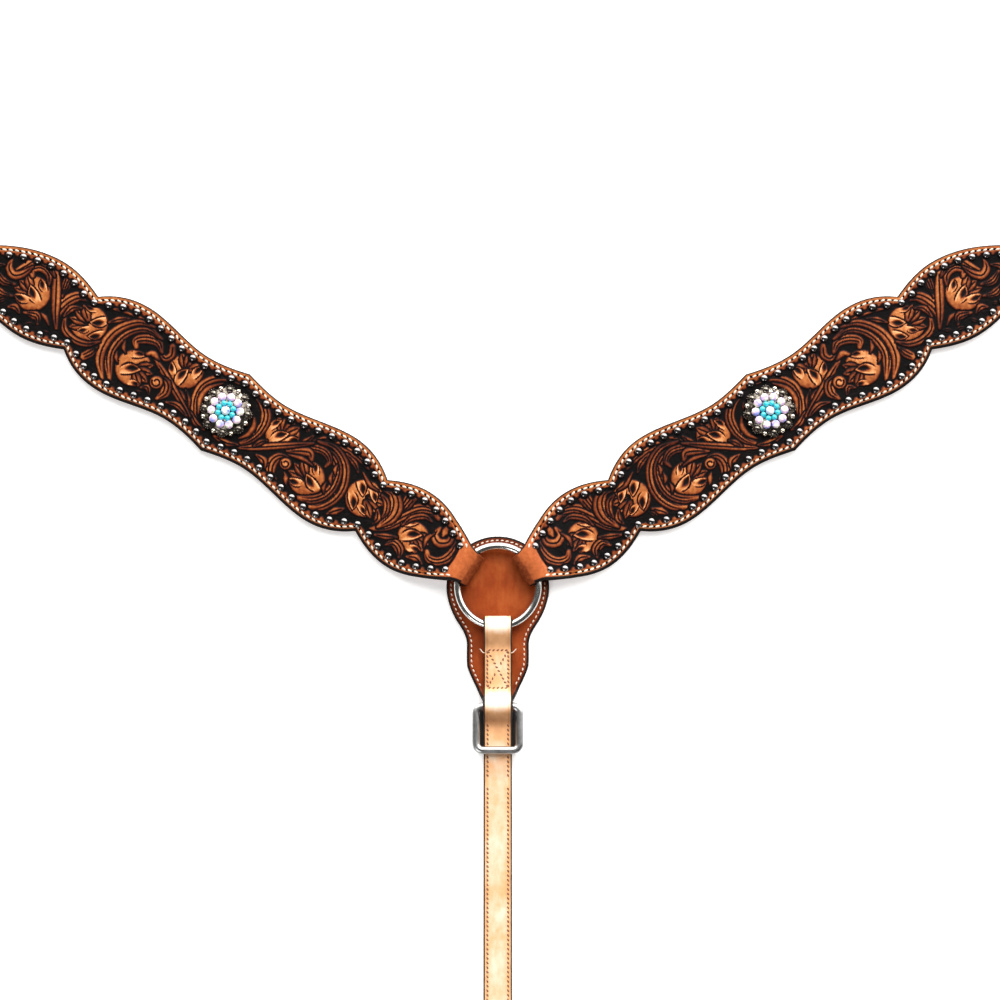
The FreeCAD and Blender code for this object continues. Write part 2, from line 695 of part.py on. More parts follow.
def stitch_line(start, end, z):
    """A straight row of stitches between two (u, v) places at one height."""
    length = math.hypot(end[0] - start[0], end[1] - start[1])
    turn = math.degrees(math.atan2(end[1] - start[1], end[0] - start[0]))
    count = max(1, int(length / STITCH_PITCH))
    pieces = []
    for i in range(count):
        part = (i + 0.5) / count
        piece = stitch()
        piece.rotate(CENTRE, UP, turn)
        u = start[0] + part * (end[0] - start[0])
        v = start[1] + part * (end[1] - start[1])
        piece.translate(Vector(u, v, z))
        pieces.append(piece)
    return pieces


def hanger_thread():
    """The sewn box: two side rows and a cross."""
    z = PLY_BOTTOM + STRAP_LEATHER
    row = HALF_STRAP - 2.2
    start = BOX_START_U + 6.0
    end = BOX_END_U - 1.5
    pieces = []
    for side in (1, -1):
        pieces += stitch_line((start, side * row), (end, side * row), z)
    inner = row - 2.2
    middle = (start + end) / 2
    for side in (1, -1):
        pieces += stitch_line((start, side * inner), (middle - 2.5, side * 1.6), z)
        pieces += stitch_line((middle + 2.5, side * 1.6), (end - 2.0, side * inner), z)
    return Part.makeCompound(pieces)


def tie_flex_leather():
    """The short bending length between the hanger and the tie strap."""
    size = Vector(HANGER_END_U, -HALF_STRAP, 0.4)
    return Part.makeBox(TIE_START_U - HANGER_END_U, CENTRE_STRAP_WIDTH, 3.0, size)


SNAP_Z = 5.2
SNAP_ROD_RADIUS = 2.0


def tie_strap():
    """The tie strap's face leather, folded around the snap's eye at its end."""
    top = STRAP_LINING + STRAP_LEATHER
    run = across(section([
        (TIE_START_U, STRAP_LINING), (301.0, STRAP_LINING), (301.0, top), (TIE_START_U, top)]),
        -HALF_STRAP, HALF_STRAP)
    face = fold_section(
        bar=(SNAP_BAR_U, SNAP_Z), radius=SNAP_ROD_RADIUS + 0.4, leather=2.2, turn=1,
        level=2.2, merge=12.0, end=SNAP_BAR_U - 300.0, tail=(0.0, top))
    fold = across(face, -HALF_STRAP, HALF_STRAP)
    return run.fuse(fold).removeSplitter()


def tie_lining():
    """The lining under the tie strap."""
    length = 299.9 - TIE_START_U
    return Part.makeBox(length, CENTRE_STRAP_WIDTH, STRAP_LINING, Vector(TIE_START_U, -HALF_STRAP, 0))


def tie_thread():
    """The two edge rows of the tie strap."""
    row = HALF_STRAP - 2.4
    z = STRAP_LINING + STRAP_LEATHER
    pieces = []
    for side in (1, -1):
        pieces += stitch_line((TIE_START_U + 2, side * row), (318.0, side * row), z)
    return Part.makeCompound(pieces)


# ---------------------------------------------------------------- the snap
EYE_SPACING = 12.0
BOSS_START = SNAP_BAR_U + EYE_SPACING - 2.0
BOSS_END = BOSS_START + 6.5
BARREL_START = BOSS_END + CLEARANCE
BARREL_END = BARREL_START + 30.0
BARREL_RADIUS = 4.9
BOLT_RADIUS = 2.2
HOOK_ROD_RADIUS = 2.4
HOOK_REACH = 26.0
HOOK_RADIUS = 9.5
HOOK_TURN_U = BARREL_END + HOOK_REACH - HOOK_RADIUS
HOOK_NOSE_RADIUS = 5.0
BOLT_TRAVEL = 9.0
AXIS_U = Vector(1, 0, 0)


def axial(radius, u0, u1, v=0.0):
    """A cylinder along u on the snap's axis."""
    return Part.makeCylinder(radius, u1 - u0, Vector(u0, v, SNAP_Z), AXIS_U)


def snap_eye():
    """The snap's eye for the strap, with the boss that the body swivels in."""
    loop = rod_loop(SNAP_BAR_U, SNAP_Z, 20.6, EYE_SPACING, 3.6, SNAP_ROD_RADIUS)
    boss = axial(4.9, BOSS_START, BOSS_END)
    return loop.fuse(boss).cut(axial(2.0 + CLEARANCE, BOSS_START - 4, BOSS_END + 1))


def snap_body():
    """The swivel post, the barrel and the hook in one casting."""
    post = axial(2.0, BOSS_START - CLEARANCE - 0.2, BARREL_START + 1)
    head = axial(3.4, BOSS_START - 2.2, BOSS_START - CLEARANCE)
    barrel = axial(BARREL_RADIUS, BARREL_START, BARREL_END)
    bore = axial(BOLT_RADIUS + CLEARANCE, BARREL_START + 6.0, BARREL_END + 1)
    slot = Part.makeBox(BOLT_TRAVEL + 6.0, 2 * 1.7, 10, Vector(BARREL_END - 19.0, -1.7, SNAP_Z))
    side = -HOOK_RADIUS
    turn_u = HOOK_TURN_U
    nose = HOOK_NOSE_RADIUS
    start = Vector(BARREL_END - 6.0, side, SNAP_Z)
    far = Vector(turn_u, -side, SNAP_Z)
    nose_end = Vector(turn_u - nose, -side - nose, SNAP_Z)
    nose_middle = Vector(turn_u - nose * math.sqrt(0.5), -side - nose * (1 - math.sqrt(0.5)), SNAP_Z)
    path = Part.Wire([
        Part.makeLine(start, Vector(turn_u, side, SNAP_Z)),
        Part.Arc(Vector(turn_u, side, SNAP_Z), Vector(turn_u + HOOK_RADIUS, 0, SNAP_Z), far).toShape(),
        Part.Arc(far, nose_middle, nose_end).toShape(),
        Part.makeLine(nose_end, Vector(turn_u - nose, -1.0, SNAP_Z)),
    ])
    hook = path.makePipeShell([Part.Wire(Part.makeCircle(HOOK_ROD_RADIUS, start, AXIS_U))], True, False)
    neck = Part.makeBox(9.0, -side, 2 * 2.2, Vector(BARREL_END - 9.0, side, SNAP_Z - 2.2))
    body = barrel.fuse(neck).fuse(hook).cut(bore).cut(slot)
    return body.fuse(post).fuse(head).removeSplitter()


def snap_bolt():
    """The sliding bolt that closes the hook, with its thumb stud."""
    tip = HOOK_TURN_U - HOOK_NOSE_RADIUS - HOOK_ROD_RADIUS - CLEARANCE
    bolt = axial(BOLT_RADIUS, BARREL_END - 11.0, tip)
    stud = Part.makeCylinder(1.3, 8.2, Vector(BARREL_END - 6.0, 0, SNAP_Z))
    cap = Part.makeCylinder(2.6, 1.6, Vector(BARREL_END - 6.0, 0, SNAP_Z + 7.2))
    return bolt.fuse(stud).fuse(cap).removeSplitter()


def snap_spring():
    """The coil spring behind the bolt."""
    pitch = 1.45
    start = BARREL_START + 6.4
    height = BARREL_END - 11.0 - start - 0.8
    helix = Part.makeHelix(pitch, height, 1.75)
    profile = Part.Wire(Part.makeCircle(0.35, Vector(1.75, 0, 0), ACROSS))
    coil = helix.makePipeShell([profile], True, True)
    coil.rotate(CENTRE, ACROSS, 90)
    coil.translate(Vector(start + 0.4, 0, SNAP_Z))
    return coil


def centre_pieces():
    """Every node of the centre strap, in the strap frame."""
    prism = safe_prism()
    return {
        "ring_safe": ring_safe(prism),
        "safe_lining": safe_lining(prism),
        "safe_thread": safe_stitches(),
        "loop_backing": loop_backing(),
        "safe_loop": rod_loop(LOOP_BAR_U, LOOP_Z, LOOP_INSIDE_WIDTH, LOOP_BAR_SPACING,
                              LOOP_CORNER_RADIUS, LOOP_ROD_RADIUS),
        "hanger_strap": hanger_strap(),
        "hanger_lining": hanger_lining(),
        "hanger_thread": hanger_thread(),
        "tie_flex_leather": tie_flex_leather(),
        "tie_strap": tie_strap(),
        "tie_lining": tie_lining(),
        "tie_thread": tie_thread(),
        "snap_eye": snap_eye(),
        "snap_body": snap_body(),
        "snap_bolt": snap_bolt(),
        "snap_spring": snap_spring(),
    }


# ---------------------------------------------------------------- the assembly
def write(name, piece):
    """Exports one node."""
    piece.exportStep("parts/" + name + ".step")


os.makedirs("parts", exist_ok=True)
write("centre_ring", centre_ring())
for name, piece in centre_pieces().items():
    piece.rotate(CENTRE, UP, HANG_ANGLE)
    write(name, piece)
for name, piece in shoulder_pieces().items():
    piece.rotate(CENTRE, UP, SHOULDER_RISE)
    write("right_" + name, piece)
    write("left_" + name, piece.mirror(CENTRE, Vector(1, 0, 0)))
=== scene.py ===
import math

import bmesh
import bpy
import numpy as np
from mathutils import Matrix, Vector


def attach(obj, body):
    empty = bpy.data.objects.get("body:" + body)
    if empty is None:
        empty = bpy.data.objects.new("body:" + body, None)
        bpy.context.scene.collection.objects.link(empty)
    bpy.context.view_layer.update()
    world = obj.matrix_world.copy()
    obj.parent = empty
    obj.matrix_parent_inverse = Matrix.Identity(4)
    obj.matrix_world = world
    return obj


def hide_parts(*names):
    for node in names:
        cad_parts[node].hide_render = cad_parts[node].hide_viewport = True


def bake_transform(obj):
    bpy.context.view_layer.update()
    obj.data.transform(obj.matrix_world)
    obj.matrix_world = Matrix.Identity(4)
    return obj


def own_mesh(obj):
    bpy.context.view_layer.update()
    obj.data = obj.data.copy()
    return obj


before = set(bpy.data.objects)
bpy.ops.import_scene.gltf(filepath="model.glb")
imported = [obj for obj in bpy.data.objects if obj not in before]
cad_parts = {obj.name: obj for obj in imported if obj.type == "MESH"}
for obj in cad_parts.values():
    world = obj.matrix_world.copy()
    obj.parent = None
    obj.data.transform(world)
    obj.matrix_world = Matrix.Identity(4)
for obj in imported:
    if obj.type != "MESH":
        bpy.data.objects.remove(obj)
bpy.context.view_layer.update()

RANDOM = np.random.default_rng(7)  # every random draw comes from here, in the order of building

# A western breast collar lying face up.  Shapes are worked out in millimetres in a strap frame, as in
# the CAD model: u runs outwards from the ring's centre along a strap, v across it, z up.  place() takes
# them to the row frame in metres.
SHOULDER_RISE = 32.0  # degrees from the x axis to a shoulder's middle line

# the rod's middle line and its own radius
RING_RADIUS = 27.9
RING_ROD = 2.5
RING_Z = 9.45
LOOP_ROD = 2.3
INCH = 25.4

# levels and thicknesses of the leather
SAFE_TOP = 3.5
SAFE_RADIUS = 35.4
LINING = 1.8
FACE = 2.8
TOP = LINING + FACE
TAB_BOTTOM = 4.05
HALF_STRAP = 9.525
HALF_TUG = 11.2

# stretches of u: the two bending lines, the shoulder's slope down to the floor, the snap's boss and spring
FLEX = (48.7, 51.3)
TIE_FLEX = (133.0, 136.0)
SLOPE = (53.0, 70.0)
BOSS = (344.0, 350.4)
SPRING = (357.5, 369.0)

# the middle of each rod or bar that leather folds round, as (u, z), and the outer radius at the ring
TAB_FOLD = (23.3, RING_Z)
STRAP_FOLD = (26.0, RING_Z)
FOLD_OUTER = 5.4
END_BAR = (447.0, 5.1)
BUCKLE_BAR = (512.0, 7.6)
LOOP_BAR = (83.0, 7.9)
SNAP_BAR = (334.0, 5.2)

# the concho's middle, as (u, v), and the pitch of the spots
CONCHO = (226.5, 3.6)
SPOT_PITCH = 10.4

# height of each bending line, in the middle of the leather that bends there
FLEX_Z = 6.35
TIE_FLEX_Z = 1.9

# points across the seen side of each strip of leather
SHOULDER_ROWS = 108
SAFE_ROWS = 64
STRAP_ROWS = 40

# where a row of stitches runs inside an edge, and the groove that it lies in
SEAM_INSET = 2.9

# distance from the ring's centre, half-width, slope before, slope after
SHOULDER_OUTLINE = (
    (17.5, 11.2, 0.00, 0.02), (30.0, 13.6, 0.35, 0.54), (74.0, 29.7, 0.00, 0.00),
    (105.0, 20.7, -0.55, 0.80), (140.0, 33.5, 0.00, 0.00), (195.0, 26.1, 0.00, 0.00),
    (227.0, 31.4, 0.25, -0.28), (259.0, 26.2, 0.00, 0.00), (312.0, 34.0, 0.00, 0.00),
    (347.5, 21.8, -0.79, 0.44), (381.0, 30.3, 0.00, 0.00), (433.0, 13.4, -0.64, -0.45),
    (441.0, 11.2, 0.00, 0.00), (454.0, 11.2, 0.00, 0.00),
)
SAFE_OUTLINE = (
    (8.0, 34.48, 0.00, -0.232), (26.0, 26.60, -0.68, -0.68), (40.0, 21.10, 0.00, 0.00),
    (55.0, 20.90, -0.10, -0.30), (79.0, 10.00, -0.45, 0.00), (88.0, 10.00, 0.00, 0.00),
)


# ---------------------------------------------------------------- the strap frame
def strap_angle(strap):
    """The direction of a strap's u, before the left one is mirrored."""
    return math.radians(-90.0 if strap == "centre" else SHOULDER_RISE)


def place(points, strap):
    """Points (u, v, z) in millimetres to the row frame in metres."""
    points = np.asarray(points, float)
    angle = strap_angle(strap)
    u, v, z = points[..., 0], points[..., 1], points[..., 2]
    x = u * math.cos(angle) - v * math.sin(angle)
    y = u * math.sin(angle) + v * math.cos(angle)
    if strap == "left":
        x = -x
    return np.stack([x, y, z], -1) / 1000


def unplace(points, strap):
    """Points in the row frame, in millimetres, to the strap frame."""
    x, y, z = points[:, 0].copy(), points[:, 1], points[:, 2]
    if strap == "left":
        x = -x
    angle = strap_angle(strap)
    u = x * math.cos(angle) + y * math.sin(angle)
    v = y * math.cos(angle) - x * math.sin(angle)
    return np.stack([u, v, z], -1)


def at(u, v, z, strap):
    """One place as a plain tuple, for blend()."""
    return tuple(float(c) for c in place([u, v, z], strap))


def hermite(knots, u):
    """Half-width and slope of an outline at each u."""
    u = np.clip(np.asarray(u, float), knots[0][0], knots[-1][0])
    starts = np.array([k[0] for k in knots])
    i = np.clip(np.searchsorted(starts, u, side="right") - 1, 0, len(knots) - 2)
    table = np.array(knots)
    u0, h0, m0 = table[i, 0], table[i, 1], table[i, 3]
    u1, h1, m1 = table[i + 1, 0], table[i + 1, 1], table[i + 1, 2]
    length = u1 - u0
    t = (u - u0) / length
    value = (h0 * (1 - 3 * t**2 + 2 * t**3) + m0 * length * (t - 2 * t**2 + t**3)
             + h1 * (3 * t**2 - 2 * t**3) + m1 * length * (t**3 - t**2))
    slope = (h0 * (6 * t**2 - 6 * t) / length + m0 * (1 - 4 * t + 3 * t**2)
             + h1 * (6 * t - 6 * t**2) / length + m1 * (3 * t**2 - 2 * t))
    return value, slope


def arch(u):
    """The shoulder's middle line."""
    return 3.0 * (1 - ((np.asarray(u, float) - 260.0) / 230.0) ** 2)


END_V = float(arch(END_BAR[0]))


def shoulder_edges(u):
    """Lower and upper edge of a shoulder."""
    half = hermite(SHOULDER_OUTLINE, u)[0]
    return arch(u) - half, arch(u) + half


def safe_edges(u):
    """Lower and upper edge of the ring safe."""
    u = np.asarray(u, float)
    round_top = np.sqrt(np.clip(SAFE_RADIUS**2 - u**2, 0.0, None))
    half = np.where(u < SAFE_OUTLINE[0][0], round_top, hermite(SAFE_OUTLINE, u)[0])
    return -half, half


def even_edges(half, middle=0.0):
    """The two edges of a strap with one width."""
    def edges(u):
        level = np.zeros_like(np.asarray(u, float))
        return level + middle - half, level + middle + half
    return edges


# ---------------------------------------------------------------- meshes
def new_object(name, mesh, material, smooth=True):
    """Links a mesh as an object with its material."""
    obj = bpy.data.objects.new(name, mesh)
    bpy.context.scene.collection.objects.link(obj)
    mesh.materials.append(material)
    mesh.polygons.foreach_set("use_smooth", np.full(len(mesh.polygons), smooth))
    mesh.update()
    return obj


def mesh_from(name, verts, faces, material, smooth=True):
    """A mesh from points and faces, turned the right way out."""
    mesh = bpy.data.meshes.new(name)
    counts = np.array([len(face) for face in faces], np.int32)
    loops = np.concatenate(list(faces))
    mesh.vertices.add(len(verts))
    mesh.vertices.foreach_set("co", verts.astype(np.float32).ravel())
    mesh.loops.add(len(loops))
    mesh.loops.foreach_set("vertex_index", loops.astype(np.int32))
    mesh.polygons.add(len(counts))
    mesh.polygons.foreach_set("loop_start", np.concatenate([[0], np.cumsum(counts)[:-1]]).astype(np.int32))
    mesh.update(calc_edges=True)
    mesh.validate()
    if signed_volume(mesh) < 0:
        mesh.flip_normals()
    return new_object(name, mesh, material, smooth)


def signed_volume(mesh):
    """Six times the volume inside a closed mesh."""
    mesh.calc_loop_triangles()
    co = np.empty(len(mesh.vertices) * 3)
    mesh.vertices.foreach_get("co", co)
    co = co.reshape(-1, 3)
    tri = np.empty(len(mesh.loop_triangles) * 3, np.int32)
    mesh.loop_triangles.foreach_get("vertices", tri)
    a, b, c = (co[tri.reshape(-1, 3)[:, k]] for k in range(3))
    return float(np.einsum("ij,ij->i", a, np.cross(b, c)).sum())


def paint(obj, name, values):
    """Stores one colour per vertex."""
    attribute = obj.data.attributes.new(name, "FLOAT_COLOR", "POINT")
    rgba = np.ones((len(obj.data.vertices), 4), np.float32)
    rgba[:, :values.shape[1]] = values
    attribute.data.foreach_set("color", rgba.ravel())


def ring_faces(columns, around, first=0, closed=False):
    """Quads between neighbouring rings of vertices."""
    last = columns if closed else columns - 1
    i = np.arange(last)[:, None]
    j = np.arange(around)[None, :]
    here = i * around
    there = (i + 1) % columns * around
    following = (j + 1) % around
    quads = np.stack([here + j, here + following, there + following, there + j], -1)
    return first + quads.reshape(-1, 4)


def tube(name, rings, material, strap, closed=False):
    """A mesh through rings of points in the strap frame: capped at both ends, or closed on itself."""
    columns, around = rings.shape[:2]
    verts = place(rings.reshape(-1, 3), strap)
    quads = ring_faces(columns, around, closed=closed)
    if closed:
        return mesh_from(name, verts, quads, material)
    faces = list(quads)
    faces.append(np.arange(around)[::-1])
    faces.append(np.arange(around) + (columns - 1) * around)
    return mesh_from(name, verts, faces, material)


def join(name, pieces, material, smooth=True):
    """One mesh from many (verts, faces) pieces already in the row frame."""
    verts, faces, count = [], [], 0
    for piece_verts, piece_faces in pieces:
        verts.append(piece_verts)
        faces += [np.asarray(f) + count for f in piece_faces]
        count += len(piece_verts)
    mesh = bpy.data.meshes.new(name)
    mesh.from_pydata(np.concatenate(verts).tolist(), [], [f.tolist() for f in faces])
    mesh.validate()
    return new_object(name, mesh, material, smooth)


def lathe(profile, segments=24):
    """A solid turned about z from a (radius, height) profile that starts and ends on the axis."""
    angles = np.arange(segments) * 2 * math.pi / segments
    verts = [(0.0, 0.0, profile[0][1])]
    for radius, height in profile[1:-1]:
        verts += [(radius * math.cos(a), radius * math.sin(a), height) for a in angles]
    verts.append((0.0, 0.0, profile[-1][1]))
    faces = []
    rows = len(profile) - 2
    for k in range(segments):
        following = (k + 1) % segments
        faces.append([0, 1 + following, 1 + k])
        for row in range(rows - 1):
            base = 1 + row * segments
            faces.append([base + k, base + following, base + segments + following, base + segments + k])
        base = 1 + (rows - 1) * segments
        faces.append([base + k, base + following, len(verts) - 1])
    return np.array(verts), faces


def moved(piece, u, v, z, strap, turn=0.0, tilt=0.0):
    """A piece turned about z, tilted along u and stood at a place of the strap frame."""
    verts, faces = piece
    c, s = math.cos(turn), math.sin(turn)
    x = verts[:, 0] * c - verts[:, 1] * s
    y = verts[:, 0] * s + verts[:, 1] * c
    c, s = math.cos(tilt), math.sin(tilt)
    turned = np.stack([x * c - verts[:, 2] * s, y, x * s + verts[:, 2] * c], -1)
    world = place(turned + np.array([u, v, z]), strap)
    if strap == "left":
        faces = [list(f)[::-1] for f in faces]
    return world, faces


def islands(node):
    """The separate solids of a CAD node, each as its own points in the row frame, in millimetres."""
    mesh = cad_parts[node].data
    co = np.empty(len(mesh.vertices) * 3)
    mesh.vertices.foreach_get("co", co)
    ends = np.empty(len(mesh.edges) * 2, np.int32)
    mesh.edges.foreach_get("vertices", ends)
    keys, index = np.unique(np.round(co.reshape(-1, 3) * 1000, 2), axis=0, return_inverse=True)
    index = index.ravel()
    a, b = index[ends[0::2]], index[ends[1::2]]
    label = np.arange(len(keys))
    while True:
        lower = label.copy()
        np.minimum.at(lower, a, label[b])
        np.minimum.at(lower, b, label[a])
        lower = lower[lower]
        if (lower == label).all():
            break
        label = lower
    return [keys[label == k] for k in np.unique(label)]


# ---------------------------------------------------------------- lines and paths
def mixed(old, new, share):
    """old where share is 0, new where share is 1."""
    return old * (1 - share) + new * share


def distance_along(line):
    """How far along a line each of its points lies."""
    return np.concatenate([[0], np.cumsum(np.hypot(*np.diff(line, axis=0).T))])


def points_at(stops, along, line):
    """The points of a flat line at some distances along it."""
    return np.stack([np.interp(stops, along, line[:, k]) for k in range(2)], -1)


def arc(centre, radius, start, end, steps=14):
    """Points on an arc, in degrees from +u towards +z."""
    angles = np.radians(np.linspace(start, end, steps))
    return [(centre[0] + radius * math.cos(a), centre[1] + radius * math.sin(a)) for a in angles]


def rounded(points, reach=3.5):
    """Rounds a polyline's corners, so that leather bends instead of creasing."""
    points = [np.asarray(p, float) for p in points]
    out = [points[0]]
    for a, b, c in zip(points, points[1:], points[2:]):
        before, after = a - b, c - b
        near = b + before * min(reach / np.hypot(*before), 0.45)
        far = b + after * min(reach / np.hypot(*after), 0.45)
        for t in np.linspace(0, 1, 7):
            out.append((1 - t) ** 2 * near + 2 * t * (1 - t) * b + t**2 * far)
    return np.array(out + [points[-1]])


def resampled(points, step):
    """A polyline with points at about every step; step is a number or a function of (u, z)."""
    points = np.asarray(points, float)
    along = distance_along(points)
    places = [0.0]
    while places[-1] < along[-1]:
        u, z = points_at(places[-1], along, points)
        places.append(places[-1] + (step(u, z) if callable(step) else step))
    return points_at(np.array(places) * along[-1] / places[-1], along, points)


def normals_of(path):
    """Unit normals to the left of a path."""
    tangent = np.gradient(path, axis=0)
    tangent /= np.hypot(*tangent.T)[:, None] + 1e-12
    return np.stack([-tangent[:, 1], tangent[:, 0]], -1)


def leather_rings(path, thickness, edges, rows, relief=None, roundness=0.55):
    """Rings of points round a leather strip: the seen side, an edge, the flesh side and an edge."""
    normal = normals_of(path)
    low, high = edges(path[:, 0])
    thickness = np.broadcast_to(np.asarray(thickness, float), (len(path),))
    width = high - low
    # rows a little closer together towards both edges
    across = 0.5 - 0.5 * np.cos(np.linspace(0, math.pi, rows)) * 0.16 - 0.42 * np.linspace(1, -1, rows)
    across = (across - across[0]) / (across[-1] - across[0])
    v = low[:, None] + width[:, None] * across[None, :]
    inset = np.minimum(v - low[:, None], high[:, None] - v)
    rim = np.clip(1 - inset / roundness, 0, 1) ** 2 * roundness * 0.6
    height = -rim if relief is None else relief - rim
    seen = np.stack([
        path[:, None, 0] + normal[:, None, 0] * height,
        v,
        path[:, None, 1] + normal[:, None, 1] * height,
    ], -1)

    # the edges bulge a little, as pressed leather does, and the flesh side is narrower than the face
    def at_depth(v, share):
        depth = thickness * share
        return np.stack([path[:, 0] - normal[:, 0] * depth, v, path[:, 1] - normal[:, 1] * depth], -1)

    bulge = np.minimum(0.18 * thickness, 0.02 * width + 0.05)
    upper = [at_depth(high + bulge * k, s) for k, s in ((0.6, 0.3), (1.0, 0.55), (0.5, 0.85))]
    lower = [at_depth(low - bulge * k, s) for k, s in ((0.5, 0.85), (1.0, 0.55), (0.6, 0.3))]
    under = [at_depth(high - (0.06 + 0.88 * k / 4) * width, 1.0) for k in range(5)]
    rest = np.stack(upper + under + lower, 1)
    return np.concatenate([seen, rest], 1)


def dye_edges(colours, rows):
    """Marks both cut edges of a strip's rings as dyed: the three points beside its seen rows."""
    colours[:, rows:rows + 3, 2] = 1.0
    colours[:, -3:, 2] = 1.0


# ---------------------------------------------------------------- materials
def add_node(tree, kind, inputs=None, **settings):
    """A new node of a tree, with its settings made and its inputs linked or set."""
    node = tree.nodes.new(kind)
    for key, value in settings.items():
        setattr(node, key, value)
    for key, value in (inputs or {}).items():
        if isinstance(value, bpy.types.NodeSocket):
            tree.links.new(value, node.inputs[key])
        else:
            node.inputs[key].default_value = value
    return node


class Nodes:
    """A material's node tree with a principled shader, and short ways to add to it."""

    def __init__(self, name):
        self.material = bpy.data.materials.new(name)
        self.material.use_nodes = True
        self.tree = self.material.node_tree
        self.shader = self.tree.nodes["Principled BSDF"]

    def add(self, kind, inputs=None, **settings):
        return add_node(self.tree, kind, inputs, **settings)

    def link(self, socket, name):
        self.tree.links.new(socket, self.shader.inputs[name])

    def set(self, **values):
        for key, value in values.items():
            self.shader.inputs[key.replace("_", " ")].default_value = value
        return self

    def position(self, scale=(1, 1, 1)):
        here = self.add("ShaderNodeTexCoord").outputs["Object"]
        return self.add("ShaderNodeMapping", {"Vector": here, "Scale": scale}).outputs["Vector"]

    def noise(self, scale, detail=4.0, stretch=(1, 1, 1)):
        node = self.add("ShaderNodeTexNoise", {"Vector": self.position(stretch), "Scale": scale,
                                               "Detail": detail, "Roughness": 0.55})
        return node.outputs["Fac"]

    def voronoi(self, scale, feature="F1"):
        node = self.add("ShaderNodeTexVoronoi", {"Vector": self.position(), "Scale": scale},
                        feature=feature)
        return node.outputs["Distance"]

    def ramp(self, factor, stops):
        node = self.add("ShaderNodeValToRGB", {"Fac": factor})
        elements = node.color_ramp.elements
        while len(elements) < len(stops):
            elements.new(0.5)
        for element, (position, colour) in zip(elements, stops):
            element.position = position
            element.color = (*colour, 1.0)
        return node.outputs["Color"]

    def range(self, value, low, high, to_low, to_high):
        node = self.add("ShaderNodeMapRange", {"Value": value, "From Min": low, "From Max": high,
                                               "To Min": to_low, "To Max": to_high})
        return node.outputs["Result"]

    def math(self, operation, a, b):
        node = self.add("ShaderNodeMath", {0: a, 1: b}, operation=operation)
        return node.outputs["Value"]

    def mix(self, factor, *colours):
        a, b = (c if isinstance(c, bpy.types.NodeSocket) else (*c, 1.0) for c in colours)
        return self.add("ShaderNodeMix", {0: factor, 6: a, 7: b}, data_type="RGBA").outputs[2]

    def channels(self, name):
        attribute = self.add("ShaderNodeAttribute", attribute_name=name)
        split = self.add("ShaderNodeSeparateColor", {"Color": attribute.outputs["Color"]})
        return [split.outputs[k] for k in range(3)]

    def bump(self, height, distance, strength):
        inputs = {"Height": height, "Distance": distance, "Strength": strength}
        return self.add("ShaderNodeBump", inputs).outputs["Normal"]


def leather_grain(nodes, scale=1400.0, depth=0.00012):
    """Fine pores and wrinkles."""
    pores = nodes.voronoi(scale)
    wrinkles = nodes.noise(scale * 0.45, 5.0)
    height = nodes.math("ADD", pores, wrinkles)
    return nodes.bump(height, depth, 0.5)


def tooled_leather():
    """Carved leather from the vertex colours of the tooling: antique dye in the cuts, painted shade and
    highlights, and black edges with painted shadow along the lower one.
    """
    nodes = Nodes("tooled_leather")
    tone, plain, edge = nodes.channels("tooling")
    blotch = nodes.noise(55.0, 4.0)
    fine = nodes.noise(420.0, 5.0)
    varied = nodes.math("ADD", tone, nodes.range(fine, 0.3, 0.7, -0.07, 0.07))
    varied = nodes.math("ADD", varied, nodes.range(blotch, 0.3, 0.7, -0.06, 0.06))
    carved = nodes.ramp(varied, [
        (0.00, (0.001, 0.001, 0.001)), (0.30, (0.007, 0.003, 0.003)), (0.53, (0.080, 0.013, 0.005)),
        (0.69, (0.240, 0.053, 0.013)), (0.85, (0.490, 0.160, 0.044)), (1.00, (0.880, 0.410, 0.180))])
    smooth = nodes.ramp(varied, [
        (0.00, (0.020, 0.004, 0.002)), (0.45, (0.170, 0.032, 0.008)), (0.74, (0.470, 0.115, 0.032)),
        (1.00, (0.700, 0.260, 0.090))])
    colour = nodes.mix(plain, carved, smooth)
    # the edge channel: dye, with painted shadow along a shoulder's lower edge
    colour = nodes.mix(edge, colour, (0.006, 0.004, 0.004))
    nodes.link(colour, "Base Color")
    nodes.link(nodes.range(varied, 0.1, 1.0, 0.70, 0.38), "Roughness")
    nodes.link(leather_grain(nodes), "Normal")
    return nodes.set(Specular_IOR_Level=0.09).material


def strap_leather(name, dark, middle, light):
    """Smooth leather with blotches and streaks, dyed edges, and painted light and shade from its vertex
    colours.
    """
    nodes = Nodes(name)
    tone, _, edge = nodes.channels("shade")
    blotch = nodes.noise(60.0, 5.0)
    streak = nodes.noise(240.0, 4.0, (1.0, 0.35, 1.0))
    blend = nodes.math("ADD", nodes.range(blotch, 0.25, 0.75, -0.16, 0.16),
                       nodes.range(streak, 0.3, 0.7, -0.07, 0.07))
    blend = nodes.math("ADD", blend, tone)
    colour = nodes.ramp(blend, [(0.0, dark), (0.5, middle), (1.0, light)])
    colour = nodes.mix(edge, colour, (0.010, 0.007, 0.006))
    nodes.link(colour, "Base Color")
    nodes.link(nodes.range(blend, 0.0, 1.0, 0.5, 0.34), "Roughness")
    nodes.link(leather_grain(nodes, 1300.0, 0.00010), "Normal")
    return nodes.set(Specular_IOR_Level=0.12).material


def plain_leather(name, dark, light):
    """Leather for pieces with no vertex colours."""
    nodes = Nodes(name)
    blotch = nodes.noise(70.0, 6.0)
    nodes.link(nodes.ramp(blotch, [(0.25, dark), (0.75, light)]), "Base Color")
    nodes.link(nodes.range(blotch, 0.2, 0.8, 0.75, 0.55), "Roughness")
    nodes.link(leather_grain(nodes, 1000.0, 0.00016), "Normal")
    return nodes.set(Specular_IOR_Level=0.4).material


